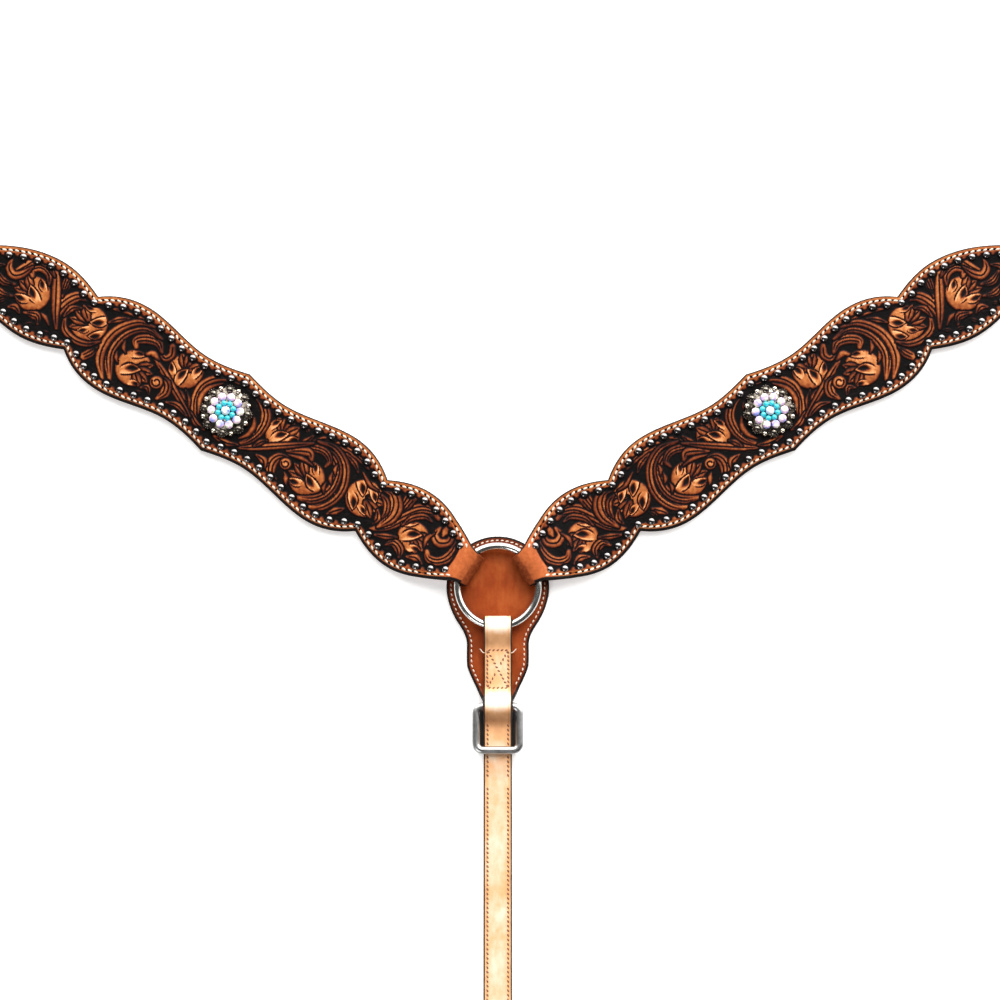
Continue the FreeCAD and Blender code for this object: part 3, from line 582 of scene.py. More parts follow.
def thread_material(name, dark, light):
    """Twisted waxed thread."""
    nodes = Nodes(name)
    twist = nodes.add("ShaderNodeTexWave", {"Vector": nodes.position(), "Scale": 900.0,
                                            "Distortion": 1.5}, bands_direction="DIAGONAL")
    twist = twist.outputs["Fac"]
    nodes.link(nodes.ramp(twist, [(0.15, dark), (0.7, light)]), "Base Color")
    nodes.link(nodes.range(twist, 0.0, 1.0, 0.75, 0.55), "Roughness")
    nodes.link(nodes.bump(twist, 0.00010, 0.6), "Normal")
    return nodes.material


def metal(name, dark, light, roughness, scratch=0.00002, scale=180.0):
    """Worn metal: a slight colour drift, fine scratches and smudged gloss."""
    nodes = Nodes(name)
    smudge = nodes.noise(scale, 5.0)
    lines = nodes.noise(600.0, 6.0, (1.0, 0.12, 1.0))
    nodes.link(nodes.ramp(smudge, [(0.3, dark), (0.7, light)]), "Base Color")
    nodes.link(nodes.range(nodes.math("ADD", smudge, lines), 0.6, 1.4, *roughness), "Roughness")
    nodes.link(nodes.bump(lines, scratch, 0.35), "Normal")
    return nodes.set(Metallic=1.0).material


def stone(name, stops, roughness, scale, vein=None):
    """Cut glass or polished turquoise."""
    nodes = Nodes(name)
    cells = nodes.voronoi(scale) if vein is None else nodes.noise(scale, 6.0)
    colour = nodes.ramp(cells, stops)
    if vein is not None:
        net = nodes.voronoi(scale * 1.7, "DISTANCE_TO_EDGE")
        colour = nodes.mix(nodes.range(net, 0.0, 0.05, 0.6, 0.0), colour, vein)
    nodes.link(colour, "Base Color")
    nodes.link(nodes.range(cells, 0.0, 1.0, *roughness), "Roughness")
    return nodes.set(IOR=1.55, Coat_Weight=0.6, Coat_Roughness=0.03).material


# ---------------------------------------------------------------- carving
def smooth_line(points, step=0.5):
    """A smooth line through a few points (Catmull-Rom), sampled finely."""
    p = np.asarray(points, float)
    p = np.concatenate([[2 * p[0] - p[1]], p, [2 * p[-1] - p[-2]]])
    out = []
    for a, b, c, d in zip(p, p[1:], p[2:], p[3:]):
        t = np.linspace(0, 1, max(4, int(np.hypot(*(c - b)) / step)), endpoint=False)[:, None]
        out.append(0.5 * (2 * b + (c - a) * t + (2 * a - 5 * b + 4 * c - d) * t**2
                          + (3 * b - a - 3 * c + d) * t**3))
    return np.concatenate(out + [p[-2:-1]])


def soft(value, low, high):
    """0 below low, 1 above high, with a smooth change between."""
    t = np.clip((value - low) / (high - low), 0, 1)
    return t * t * (3 - 2 * t)


class Carving:
    """Height and tone over a grid whose columns lie at one u each: antique dye in the cuts, with painted
    shade and highlights on the shapes.
    """

    GROUND = -0.55  # height of the ground that the pattern stands on
    CUT = 0.03  # tone of the dye in a cut
    BARE = 0.2  # the ground is darker than this

    def __init__(self, u, v):
        self.u, self.v = u, v
        stipple = RANDOM.random(u.shape)
        self.height = self.GROUND + 0.16 * stipple
        self.tone = 0.02 + 0.13 * stipple**3

    def block(self, low, high):
        """The columns between two u."""
        first, last = np.searchsorted(self.u[:, 0], (low, high))
        return slice(first, last)

    def lay(self, part, gap, height, tone):
        """Puts a shape on the ground: gap is the distance inside its outline, negative outside."""
        inside = gap > 0
        shoulder = soft(gap, 0.0, 0.9)
        raised = self.GROUND + (height - self.GROUND) * (0.35 + 0.65 * shoulder)
        # painted shade: each shape's tone darkens towards its outline, for a rounded look
        shaded = tone * (0.22 + 0.50 * soft(gap, 0.0, 0.8) + 0.28 * soft(gap, 0.3, 1.9))
        moat = (gap > -0.55) & ~inside
        self.height[part] = np.where(inside, raised, np.where(moat, self.GROUND, self.height[part]))
        self.tone[part] = np.where(inside, shaded, np.where(moat, self.CUT, self.tone[part]))

    def blade(self, points, widths, grooves=0, tone=0.86, height=0.12):
        """A leaf, stem or scroll along a smooth line, with half-widths along it and cut grooves."""
        line = smooth_line(points)
        share = np.linspace(0, 1, len(line))
        half = LEAF_WIDTH * np.interp(share, np.linspace(0, 1, len(widths)), widths)
        reach = LEAF_WIDTH * max(widths) + 1.0
        part = self.block(line[:, 0].min() - reach, line[:, 0].max() + reach)
        du = self.u[part][..., None] - line[:, 0]
        dv = self.v[part][..., None] - line[:, 1]
        near = (du**2 + dv**2).argmin(-1)
        tangent = np.gradient(line, axis=0)
        tangent /= np.hypot(*tangent.T)[:, None]
        pick = near[..., None]
        du = np.take_along_axis(du, pick, -1)[..., 0]
        dv = np.take_along_axis(dv, pick, -1)[..., 0]
        side = tangent[near][..., 0] * dv - tangent[near][..., 1] * du
        distance = np.hypot(du, dv)
        gap = half[near] - distance
        cross = side / half[near]
        # painted shade: the leaf is lighter towards one side and darker towards the other; its tone is also
        # darker towards its first end, and dye darkens its grooves
        shade = tone * (0.92 + 0.12 * cross) - 0.16 * (1 - share[near]) * (1 - share[near])
        crown = height - 0.22 * cross**2
        ends = soft(share[near], 0.02, 0.16) * soft(1 - share[near], 0.02, 0.22)
        for k in range(grooves):
            middle = -1 + 2 * (k + 1) / (grooves + 1)
            cut = (1 - soft(np.abs(cross - middle) * half[near], 0.24, 0.74)) * ends
            shade = shade * (1 - 0.9 * cut)
            crown = crown - 0.4 * cut
        self.lay(part, gap, crown, shade)

    def cover(self, part, share, tone, height):
        """Mixes a tone and a height into a part of the face."""
        self.tone[part] = mixed(self.tone[part], tone, share)
        self.height[part] = mixed(self.height[part], height, share)

    def disc(self, centre, radius, tone, height):
        """A round shape with painted shade: lighter on the side towards the light, darker on the other side
        and towards its rim.
        """
        part = self.block(centre[0] - radius - 1, centre[0] + radius + 1)
        du, dv = self.u[part] - centre[0], self.v[part] - centre[1]
        r = np.hypot(du, dv)
        shade = tone + 0.10 * (du * 0.4 + dv * 0.6) / radius - 0.10 * (r / radius) ** 2
        self.lay(part, radius - r, height, shade)

    def local(self, centre, angle, reach):
        """The part of the grid round a place, in axes along and across a direction."""
        part = self.block(centre[0] - reach, centre[0] + reach)
        c, s = math.cos(math.radians(angle)), math.sin(math.radians(angle))
        du, dv = self.u[part] - centre[0], self.v[part] - centre[1]
        return part, du * c + dv * s, dv * c - du * s

    def petal(self, centre, angle, size, cup, radius):
        """A cupped petal: an outline open at its root, and a dark fold with painted shade spreading from it
        towards the root.
        """
        part, x, y = self.local(centre, angle, 10.5 * size)
        x, y = x / size, y / size
        within = soft(radius - np.hypot(self.u[part] - cup[0], self.v[part] - cup[1]), 0.7, 1.5)
        bow = 0.9 * (x / 6.0) ** 2
        lens = 3.7 * (1 - ((x + 1.8) / 8.2) ** 2) - np.abs(y - bow)
        fold = 1.0 * (1 - ((x - 1.2) / 3.3) ** 2) - np.abs(y - bow + 0.3)
        root = soft(x, -8.0, -5.0)
        inside = soft(lens, -0.1, 0.25) * root
        # painted shade: a little lighter to one side, and darkening from the fold towards the root; the
        # fold itself is cut deep and dark with dye, and the lip just inside the outline is a painted
        # highlight
        shade = 0.86 + 0.03 * y - 0.55 * soft(fold, -2.3, 0.2) * (0.30 + 0.70 * soft(-x, -4.0, -0.5))
        lip_highlight = 0.18 * (1 - soft(np.abs(lens - 0.95), 0.15, 0.60))
        tone = (shade + lip_highlight) * (1 - soft(fold, -0.25, 0.35))
        line = (1 - soft(np.abs(lens), 0.28, 0.68)) * root
        tone = tone * (1 - line)
        level = 0.24 - 0.55 * soft(fold, -1.6, 0.6) - 0.4 * line
        self.cover(part, np.maximum(inside, line) * within, np.maximum(tone, self.CUT), level)

    def flower(self, centre, radius, facing, folds):
        """A poppy-like bloom: a round cup with a dark mouth, small ruffled petals and cupped ones."""
        self.disc(centre, radius, 0.86, 0.20)
        part, x, y = self.local(centre, facing, radius + 1)
        mouth = soft(0.66 * radius - np.hypot(x - 0.98 * radius, y), -0.3, 0.4)
        self.cover(part, mouth, self.CUT, self.GROUND)
        for turn in (-40, -14, 14, 40):
            away = math.radians(facing + turn)
            line = [(centre[0] + k * radius * math.cos(away), centre[1] + k * radius * math.sin(away))
                    for k in (0.22, 0.62, 1.04)]
            self.blade(line, [1.4, 2.3, 2.2, 0.7], 1, 0.84, 0.05)
        for u, v, angle, size in folds:
            towards = math.cos(math.radians(angle - facing)) > 0
            self.petal((u, v), angle if towards else angle + 180, size, centre, radius)

    def tone_at(self, spot):
        """The tone of the grid point beside a place."""
        row = np.searchsorted(self.u[:, 0], spot[0]) % len(self.u)
        return self.tone[row, np.abs(self.v[row] - spot[1]).argmin()]

    def fill_ground(self, edges, reach, tries):
        """Small leaves in the bare stretches of ground, swept back from the strap's direction."""
        for _ in range(tries):
            u = RANDOM.uniform(38.0, 425.0)
            low, high = edges(u)
            v = RANDOM.uniform(low + 8.0, high - 8.0)
            angle = math.radians(RANDOM.uniform(18, 70) * (1 if v > (low + high) / 2 else -1))
            along = np.array([math.cos(angle), math.sin(angle)])
            side = np.array([-along[1], along[0]])
            middle = np.array([u, v])
            if all(self.tone_at(middle + along * t * reach + side * w * reach) < self.BARE
                   for t in (-1.0, -0.5, 0.0, 0.5, 1.0) for w in (-0.36, 0.0, 0.36)):
                line = [middle - along * reach, middle + 0.22 * reach * side, middle + along * reach]
                wide = 0.25 * reach
                self.blade(line, [0.25, wide, 0.7 * wide, 0.2], 1, 0.80, 0.02)

    def snail(self, centre, radius):
        """The curled end of a scroll."""
        self.disc(centre, radius, 0.88, 0.18)
        part = self.block(centre[0] - radius, centre[0] + radius)
        du, dv = self.u[part] - centre[0], self.v[part] - centre[1]
        r = np.hypot(du, dv) / radius
        turn = (np.arctan2(dv, du) / (2 * math.pi)) % 1.0
        coil = 1 - soft(np.abs(r - 0.34 - 0.30 * turn) * radius, 0.25, 0.75)
        self.tone[part] *= 1 - 0.92 * coil
        self.height[part] -= 0.35 * coil


# The carved pattern of one shoulder, drawn in the strap frame: a line's points, its half-widths from
# one end to the other, and how many grooves it has.
BLADES = (
    # round the first bloom
    ([(41, 11), (39.5, 4), (41, -3), (46, -8), (52, -9), (55.5, -5.5)], [1.2, 2.4, 2.8, 2.5, 2.4, 1.4], 2),
    ([(47, 15), (46, 8), (51.5, 4), (57, 7), (56.5, 13)], [1.2, 2.2, 2.6, 2.2, 1.2], 1),
    ([(51.5, 17), (51.6, 9.5)], [1.6, 2.3, 1.0], 0),
    ([(61, 18), (66, 20), (75, 17), (82, 8), (89, -4), (98, -13)], [1.4, 3.2, 3.8, 3.4, 2.6, 1.2], 3),
    ([(64, 14), (70, 14.5), (77, 9), (80.5, 1)], [0.8, 1.8, 1.6, 0.6], 1),
    ([(85.5, 21), (86, 14), (87, 7)], [3.4, 2.8, 0.6], 3),
    ([(54, -15), (60, -13.5), (66, -16)], [0.9, 2.2, 0.8], 1),
    ([(70, -20), (73, -14.5), (79, -12.5), (83, -17)], [0.9, 2.6, 2.4, 0.8], 2),
    ([(79, -8), (86, -11.5), (94, -15)], [0.8, 1.8, 0.8], 1),
    ([(59, -4), (60.5, 2), (58, 8)], [0.6, 1.4, 0.6], 0),
    # between the first and second blooms
    ([(105, 15.5), (98, 16.5), (91.8, 11), (90.2, 2), (94.5, -9)], [1.0, 3.0, 3.8, 3.0, 1.0], 2),
    ([(104, 11.5), (98.5, 9), (95.3, 3), (95.5, -3)], [0.8, 1.8, 1.6, 0.6], 1),
    ([(99, -9), (98, -4), (101, 1)], [0.8, 1.9, 0.8], 1),
    ([(108, 12.5), (115, 13), (124, 18)], [0.6, 1.2, 0.6], 0),
    # the big arcs over the third bloom
    ([(122, -11), (126, -15), (130, -20)], [1.0, 2.2, 0.7], 1),
    ([(122, 22), (130, 24.5), (140, 26), (152, 25), (160, 22)], [0.8, 1.8, 2.0, 1.8, 0.7], 1),
    ([(127, 16), (132, 20), (141, 23)], [0.7, 1.7, 0.7], 1),
    ([(153, 27), (160, 23.5), (167, 17)], [0.8, 1.8, 0.7], 1),
    ([(163, 20), (150, 21.3), (138, 15), (131.5, 3), (131.5, -8), (137, -18), (146, -24)],
     [0.9, 2.3, 2.8, 2.9, 2.8, 2.6, 1.2], 2),
    ([(160, 16.5), (149, 16.8), (140.6, 11), (137, 1), (138, -9), (144.5, -17), (156, -22)],
     [0.9, 2.1, 2.3, 2.4, 2.4, 2.3, 1.1], 2),
    ([(139.5, 6), (142, 9), (142.5, 13)], [0.5, 1.3, 0.5], 0),
    ([(138.5, -1), (141.5, 2), (142.5, 6.5)], [0.5, 1.3, 0.5], 0),
    ([(139.5, -9), (142, -6), (142.5, -2)], [0.5, 1.2, 0.5], 0),
    ([(149, 7.5), (148.5, 12.5), (155, 16), (164, 13.8), (176, 7), (190, -2.5)],
     [1.0, 2.0, 2.2, 2.3, 1.8, 0.9], 2),
    ([(160, 6.5), (163.5, 9.8), (170, 7.4), (178, 2.5)], [1.4, 2.4, 1.8, 0.8], 1),
    ([(157, 3.4), (166, 3.6), (176, 0.8)], [0.7, 1.3, 0.6], 0),
    ([(168, 21), (170, 16), (174, 11)], [0.9, 1.8, 0.8], 1),
    ([(166, -18), (168.5, -14), (171.5, -11)], [0.8, 1.5, 0.5], 0),
    # stem, scroll and leaves before the concho
    ([(174.5, -0.8), (180.5, -4), (182.5, -10), (179.5, -16.5), (174, -18.5)],
     [0.9, 2.4, 3.0, 2.6, 0.9], 2),
    ([(165, 17), (175, 9.5), (187, 1), (200, -8), (213, -15.5)], [0.9, 1.7, 1.9, 1.8, 0.8], 1),
    ([(185, -17), (188.5, -12), (195, -11)], [0.9, 2.3, 0.8], 1),
    ([(194, 1.5), (197.3, -2), (200, -7)], [0.6, 1.7, 0.6], 1),
    ([(222, 24), (212, 22.3), (204, 15.5), (202, 5), (205, -5), (211, -12)],
     [0.9, 2.1, 2.8, 2.6, 2.0, 0.8], 2),
    ([(211, 11), (207.6, 5), (208, -2), (212, -8)], [0.7, 1.6, 1.4, 0.6], 0),
    ([(210, -12), (218, -15.2), (228, -15.5)], [0.8, 2.0, 0.9], 1),
    # arcs and leaves after the concho
    ([(229, 26), (240, 24.5), (249.5, 19), (254.8, 10), (254, 0), (249, -9), (243, -15)],
     [0.9, 1.8, 2.1, 2.2, 2.0, 1.8, 0.8], 1),
    ([(243, 19), (249.6, 11), (250.6, 2), (246, -8)], [0.7, 1.4, 1.5, 0.6], 0),
    ([(236, -15.5), (244, -14.5), (251, -10)], [0.8, 1.7, 0.7], 1),
    ([(263, 1.5), (257.6, -4), (253, -11)], [0.6, 1.8, 0.7], 1),
    ([(270, -0.5), (263, -3.2), (256, -9.5)], [0.6, 1.5, 0.6], 0),
    ([(250, -13), (258, -9), (268, -4), (280, 2.2), (293, 8.5)], [0.9, 1.6, 1.9, 1.9, 1.1], 1),
    ([(252, -14), (262, -11), (270, -13.2)], [0.8, 1.9, 0.7], 1),
    ([(284, 0.2), (277, -2.2), (274.3, -8), (277, -14.5)], [0.9, 2.6, 2.9, 1.1], 2),
    ([(283, -15.5), (287, -11.3), (291, -14)], [0.7, 1.7, 0.7], 1),
    ([(288, 23), (285, 17), (287.6, 12.6), (293.5, 14.5)], [1.8, 2.1, 1.8, 0.9], 1),
    ([(291, 9.5), (297, 11), (300, 8.5)], [0.9, 1.9, 1.2], 0),
    # arcs round the next bloom
    ([(292, 15), (298, 19.2), (306, 17.5), (312, 12.5), (309.5, 8.8)], [1.2, 2.4, 2.7, 2.6, 1.5], 2),
    ([(304, 30), (318, 29.2), (330, 26.5), (339, 22.5)], [0.8, 1.8, 1.8, 0.7], 1),
    ([(325, 23), (331, 18.5), (336, 13)], [0.7, 1.8, 0.7], 1),
    ([(297, 23), (310, 23.5), (319.5, 16), (323.8, 5), (322.5, -7), (312.5, -21)],
     [0.9, 2.2, 2.7, 2.8, 2.7, 1.1], 2),
    ([(306, 27.5), (318, 24), (327.2, 13), (330, 1), (327, -12), (317.5, -23)],
     [0.8, 1.9, 2.3, 2.5, 2.4, 1.1], 1),
    ([(313.5, 1), (317, 3.5), (318.8, 8.5)], [0.5, 1.3, 0.5], 0),
    ([(314.5, -8), (317.8, -5), (319.6, -1)], [0.5, 1.2, 0.5], 0),
    ([(333, -6), (335, -12), (338.5, -17.5)], [0.7, 2.5, 2.2], 2),
    # between the last two blooms
    ([(334, -2), (340.5, -8), (350, -10.2), (360, -7.5), (365, 1)], [0.9, 1.8, 2.0, 1.8, 0.9], 1),
    ([(357, 19), (365, 17), (370, 8.5), (370.5, 0), (366.5, -8)], [1.1, 3.0, 3.3, 2.4, 0.9], 2),
    ([(358, 11.5), (363.5, 8), (365.5, 0)], [0.7, 1.9, 0.7], 1),
    ([(377.5, 26), (376, 18), (374.2, 11)], [2.8, 2.3, 0.7], 3),
    ([(365.5, -10), (372, -1), (380, 12), (388.5, 26)], [1.1, 2.3, 2.5, 1.4], 1),
    ([(371, -11), (377, -7.3), (384, -7.3)], [0.6, 1.3, 0.6], 0),
    ([(378, -15), (382, -10.2), (391, -12.5)], [0.9, 2.6, 0.9], 2),
    ([(394, -14.5), (399, -12.5), (403, -15)], [0.9, 2.1, 0.8], 1),
    ([(387, 13.5), (391.5, 19.4), (398.5, 20.6), (403, 16.2), (400.3, 12.5)], [0.9, 2.0, 2.2, 2.2, 1.3], 1),
    ([(387, 20.5), (396, 25.2), (404.5, 23), (409, 15), (413.5, 8)], [0.8, 1.9, 2.3, 2.3, 1.2], 1),
    ([(404, 18), (407.5, 10), (412.5, 6), (418, 8.6), (420, 15)], [0.8, 2.0, 2.4, 2.2, 0.9], 1),
    ([(405, -7), (413, -9.5), (423, -6.5)], [0.9, 2.4, 0.8], 2),
    ([(408, 1), (416, -1.5), (425, 2.5)], [0.9, 2.3, 0.9], 2),
    ([(422, 9), (427, 5), (428.5, -2)], [0.8, 1.8, 0.8], 1),
)
# centre, radius, the way it faces in degrees, and its folds: place, angle, size
FLOWERS = (
    ((69.5, -2), 10.8, 190, ((70.5, -0.5, -35, 1.15), (75.5, 7, -35, 0.9), (63, -8.5, -5, 0.9))),
    ((113.5, 3), 13.0, 180, ((118.5, 8.5, 48, 1.0), (118.8, -3, 55, 1.0), (108, 8, 45, 0.8),
                             (110, -4.5, 30, 0.7))),
    ((155.5, -6.5), 12.4, 5, ((152, -7.2, 25, 1.1), (162, -13, -12, 0.9), (154, 3, 60, 0.7))),
    ((187, 10.5), 11.8, 85, ((178, 11.5, -35, 0.9), (188, 9.5, -50, 1.05), (195.5, 15, -65, 0.8))),
    ((270, 12.5), 12.2, 85, ((262.8, 17.5, -75, 0.9), (271, 9, -82, 1.05), (280, 9.5, 48, 0.8))),
    ((303, -5), 12.6, 180, ((304, -6, -32, 1.15), (304.5, 6, -28, 0.9), (295.5, -14, -5, 0.8))),
    ((347, 5), 12.8, 0, ((342, 9.3, -38, 1.05), (338.5, 0, -42, 0.95), (353, 15, -5, 0.8),
                         (348.5, -1, -40, 0.7))),
    ((393.5, 2), 12.4, 0, ((393.5, 2.2, 35, 1.1), (399, -5, -8, 0.95), (391, 11, 42, 0.8))),
)
SNAILS = (((174, -5.5), 4.4), ((283.5, -5), 5.0))
PATTERN_STRETCH = 0.985
PLAIN_START = 36.2
PLAIN_END = 425.0
LEAF_WIDTH = 1.42  # every leaf is drawn this much wider than its half-widths say


def stretched(points):
    """Pattern points, or folds that begin with one, moved to the shoulder's own length."""
    return [(p[0] * PATTERN_STRETCH, *p[1:]) for p in points]


def edge_distance(u, v):
    """Distance from each grid point to the lower and the upper edge of the shoulder."""
    rim_u = np.arange(SHOULDER_OUTLINE[0][0], SHOULDER_OUTLINE[-1][0], 0.4)
    distances = []
    for rim_v in shoulder_edges(rim_u):
        distance = np.empty_like(u)
        for i, column_u in enumerate(u):
            near = np.abs(rim_u - column_u[0]) < 14
            gap = np.hypot(column_u[:, None] - rim_u[near], v[i][:, None] - rim_v[near])
            distance[i] = gap.min(1)
        distances.append(distance)
    return distances


def carve_pattern(face):
    """The blooms, stems, leaves and scrolls, then small leaves in the ground that is left."""
    for centre, radius, facing, folds in FLOWERS:
        face.flower(*stretched([centre]), 1.05 * radius, facing, stretched(folds))
    for points, widths, grooves in BLADES:
        face.blade(stretched(points), widths, grooves)
    for centre, radius in SNAILS:
        face.snail(*stretched([centre]), radius)
    for reach, tries in ((5.0, 900), (3.4, 2500), (2.2, 4000)):
        face.fill_ground(shoulder_edges, reach, tries)


def carve_border(face, inset, rows):
    """The dark moat round the pattern, the scallops and seats of the spots, and the plain border."""
    face.cover(..., soft(-inset, -8.4, -7.4), face.CUT, face.GROUND)
    for row in rows:
        for a, b in zip(row, row[1:]):
            if np.hypot(*(b - a)) < 1.4 * SPOT_PITCH:
                middle = (a + b) / 2
                outwards = 2.3 if middle[1] > arch(middle[0]) else -2.3
                face.disc((middle[0], middle[1] + outwards), 2.9, 0.74, -0.02)
        for spot in row:
            part = face.block(spot[0] - 4, spot[0] + 4)
            gap = np.hypot(face.u[part] - spot[0], face.v[part] - spot[1])
            face.cover(part, 1 - soft(gap, 3.3, 4.1), 0.02, -0.35)
    groove = 1 - soft(np.abs(inset - SEAM_INSET), 0.25, 0.75)
    tan = (0.79 - 0.14 * soft(inset, 3.4, 4.8)) * (1 - 0.22 * groove)
    face.cover(..., soft(-inset, -5.6, -4.4), tan, -0.22 * groove)


def punch(face, holes):
    """The small dark holes that the stitches go into."""
    for hole_u, hole_v in holes:
        part = face.block(hole_u - 1.5, hole_u + 1.5)
        gap = np.hypot(face.u[part] - hole_u, face.v[part] - hole_v)
        hole = 1 - soft(gap, 0.35, 0.85)
        face.tone[part] *= 1 - 0.9 * hole
        face.height[part] -= 0.3 * hole


def smooth_ends(face, inset):
    """Leaves both ends of the face plain, behind a cut line, with painted shadow on the tab near its fold
    round the ring.  Returns where it is plain.
    """
    u = face.u
    start = PLAIN_START + 0.012 * face.v**2
    plain = np.maximum(1 - soft(u, start - 0.8, start + 0.1), soft(u, PLAIN_END - 0.1, PLAIN_END + 0.8))
    line = 1 - soft(np.minimum(np.abs(u - start), np.abs(u - PLAIN_END)), 0.5, 1.1)
    # painted shadow: the plain tab darkens towards its fold round the ring
    fold_shade = 0.56 + 0.17 * soft(u, 18.5, 31.0)
    face.cover(..., plain, fold_shade, 0.0)
    cut = line * (inset > 4.4)
    face.tone = mixed(face.tone, face.CUT, cut)
    face.height -= 0.3 * cut
    return plain


def carve(u, v, rows, holes):
    """The whole tooled face: pattern, border, dyed edges with painted shadow along the lower one.  Returns
    height and vertex colours.
    """
    face = Carving(u, v)
    carve_pattern(face)
    low, high = edge_distance(u, v)
    inset = np.minimum(low, high)
    carve_border(face, inset, rows)
    punch(face, holes)
    plain = smooth_ends(face, inset)
    # black edges: dye on both, and along the lower edge a wider band of painted shadow
    dyed = np.maximum(1 - soft(low, 1.4, 2.0), 1 - soft(high, 0.4, 0.9))
    return face.height, np.stack([face.tone, plain, dyed], -1)


def spot_rows(side):
    """The spots' places in the strap frame, as an upper and a lower row from the ring outwards."""
    centres = []
    for node in (side + "_tab_spots", side + "_spots"):
        centres += middles(node, side)
    centres = np.array(sorted(centres, key=lambda c: c[0]))
    upper = centres[:, 1] > arch(centres[:, 0])
    rows = []
    for row in (centres[upper], centres[~upper]):
        along = distance_along(row)
        rows.append(points_at(np.linspace(0, along[-1], len(row)), along, row))
    return rows


def middles(node, strap):
    """The middle of each separate solid of a CAD node, as (u, v)."""
    return [unplace(points, strap).mean(0)[:2] for points in islands(node)]


# ---------------------------------------------------------------- the finishes
LEATHER = tooled_leather()
LINING_LEATHER = plain_leather("lining_leather", (0.20, 0.095, 0.045), (0.36, 0.19, 0.10))
SAFE_LEATHER = strap_leather("safe_leather", (0.05, 0.006, 0.002), (0.30, 0.050, 0.009),
                             (0.56, 0.15, 0.038))
STRAP_LEATHER = strap_leather("strap_leather", (0.42, 0.16, 0.065), (0.83, 0.45, 0.22),
                              (0.98, 0.93, 0.82))
BLACK_LEATHER = plain_leather("dark_leather", (0.006, 0.005, 0.005), (0.022, 0.017, 0.015))
THREAD = thread_material("cream_thread", (0.55, 0.40, 0.28), (0.95, 0.86, 0.74))
BROWN_THREAD = thread_material("brown_thread", (0.085, 0.026, 0.010), (0.32, 0.13, 0.06))
STEEL = metal("steel", (0.50, 0.50, 0.48), (0.68, 0.68, 0.66), (0.12, 0.26))
BRUSHED = metal("brushed_steel", (0.38, 0.38, 0.38), (0.56, 0.56, 0.56), (0.26, 0.42), 0.00004)
SNAP_METAL = metal("snap_metal", (0.50, 0.49, 0.46), (0.66, 0.65, 0.61), (0.16, 0.32))
SPOT_METAL = metal("spot_metal", (0.19, 0.18, 0.18), (0.34, 0.33, 0.33), (0.06, 0.14))
ANTIQUE = metal("antique_silver", (0.045, 0.035, 0.028), (0.30, 0.27, 0.23), (0.12, 0.28), 0.00006, 420.0)
BEAD_METAL = metal("bead_metal", (0.62, 0.56, 0.44), (0.88, 0.84, 0.74), (0.08, 0.18))
CRYSTAL = stone("crystal", [(0.08, (0.72, 0.86, 0.40)), (0.30, (1.0, 1.0, 0.96)),
                            (0.55, (0.95, 0.62, 0.84)), (0.80, (0.36, 0.42, 0.95))],
                (0.03, 0.10), 260.0)
BLUE_CRYSTAL = stone("blue_crystal", [(0.1, (0.10, 0.16, 0.85)), (0.45, (0.62, 0.78, 1.0)),
                                      (0.8, (1.0, 1.0, 1.0))], (0.03, 0.08), 330.0)
TURQUOISE = stone("turquoise", [(0.25, (0.005, 0.36, 0.45)), (0.5, (0.03, 0.66, 0.76)),
                                (0.8, (0.16, 0.86, 0.90))], (0.10, 0.22), 700.0,
                  vein=(0.02, 0.10, 0.12))


# ---------------------------------------------------------------- pieces that repeat
def stitch_piece(length=3.3, width=1.45, height=0.85):
    """One stitch: an oval of thread whose ends go down into the leather."""
    profile = [(0.0, -0.5)]
    for angle in np.radians(np.linspace(-60, 60, 6)):
        profile.append((0.5 * math.cos(angle), 0.5 * math.sin(angle)))
    profile.append((0.0, 0.5))
    verts, faces = lathe(profile, 10)
    turned = np.stack([verts[:, 2] * length, verts[:, 0] * width, verts[:, 1] * height], -1)
    turned[:, 2] -= 0.5 * np.abs(turned[:, 0] / length) ** 2
    return turned, [f[::-1] for f in faces]


STITCH = stitch_piece()
FINE_STITCH = stitch_piece(2.9, 1.25, 0.8)
BOX_STITCH = stitch_piece(2.3, 1.15, 0.7)
SAFE_STITCH = stitch_piece(2.4, 1.05, 0.7)
SPOT = lathe([(0.0, -0.8), (2.4, -0.8), (2.52, 0.0), (2.48, 0.25), (2.28, 0.72), (1.88, 1.14),
              (1.35, 1.46), (0.7, 1.66), (0.0, 1.72)], 24)


def slope_at(surface, u):
    """Tilt of a surface along u."""
    return math.atan2(float(surface(u + 0.8) - surface(u - 0.8)), 1.6)


def inset_row(edges, side, inset, u0, u1, pitch):
    """Even places and directions along a line that keeps its distance from one edge."""
    u = np.arange(u0 - 12, u1 + 12, 0.25)
    v = edges(u)[1 if side > 0 else 0]
    slope = np.gradient(v, u)
    size = np.hypot(1, slope)
    line = np.stack([u + side * inset * slope / size, v - side * inset / size], -1)
    near = np.array([np.hypot(p[0] - u, p[1] - v).min() for p in line])
    line = line[(near > inset - 0.05) & (line[:, 0] >= u0) & (line[:, 0] <= u1)]
    along = distance_along(line)
    stops = np.arange(0, along[-1], pitch)
    at_u, at_v = points_at(stops, along, line).T
    ahead_u, ahead_v = points_at(stops + 0.4, along, line).T
    return list(zip(at_u, at_v, np.arctan2(ahead_v - at_v, ahead_u - at_u)))


def rod_rings(line, tangent, radius, origin, flat=1.0):
    """Round sections across a level line, moved to an origin (u, v, z)."""
    tangent = tangent / np.hypot(*tangent.T)[:, None]
    around = np.arange(18) * 2 * math.pi / 18
    radius = np.broadcast_to(radius, len(line))[:, None]
    out = flat * radius * np.cos(around)
    return np.stack([origin[0] + line[:, None, 0] - tangent[:, None, 1] * out,
                     origin[1] + line[:, None, 1] + tangent[:, None, 0] * out,
                     origin[2] + radius * np.sin(around)], -1)


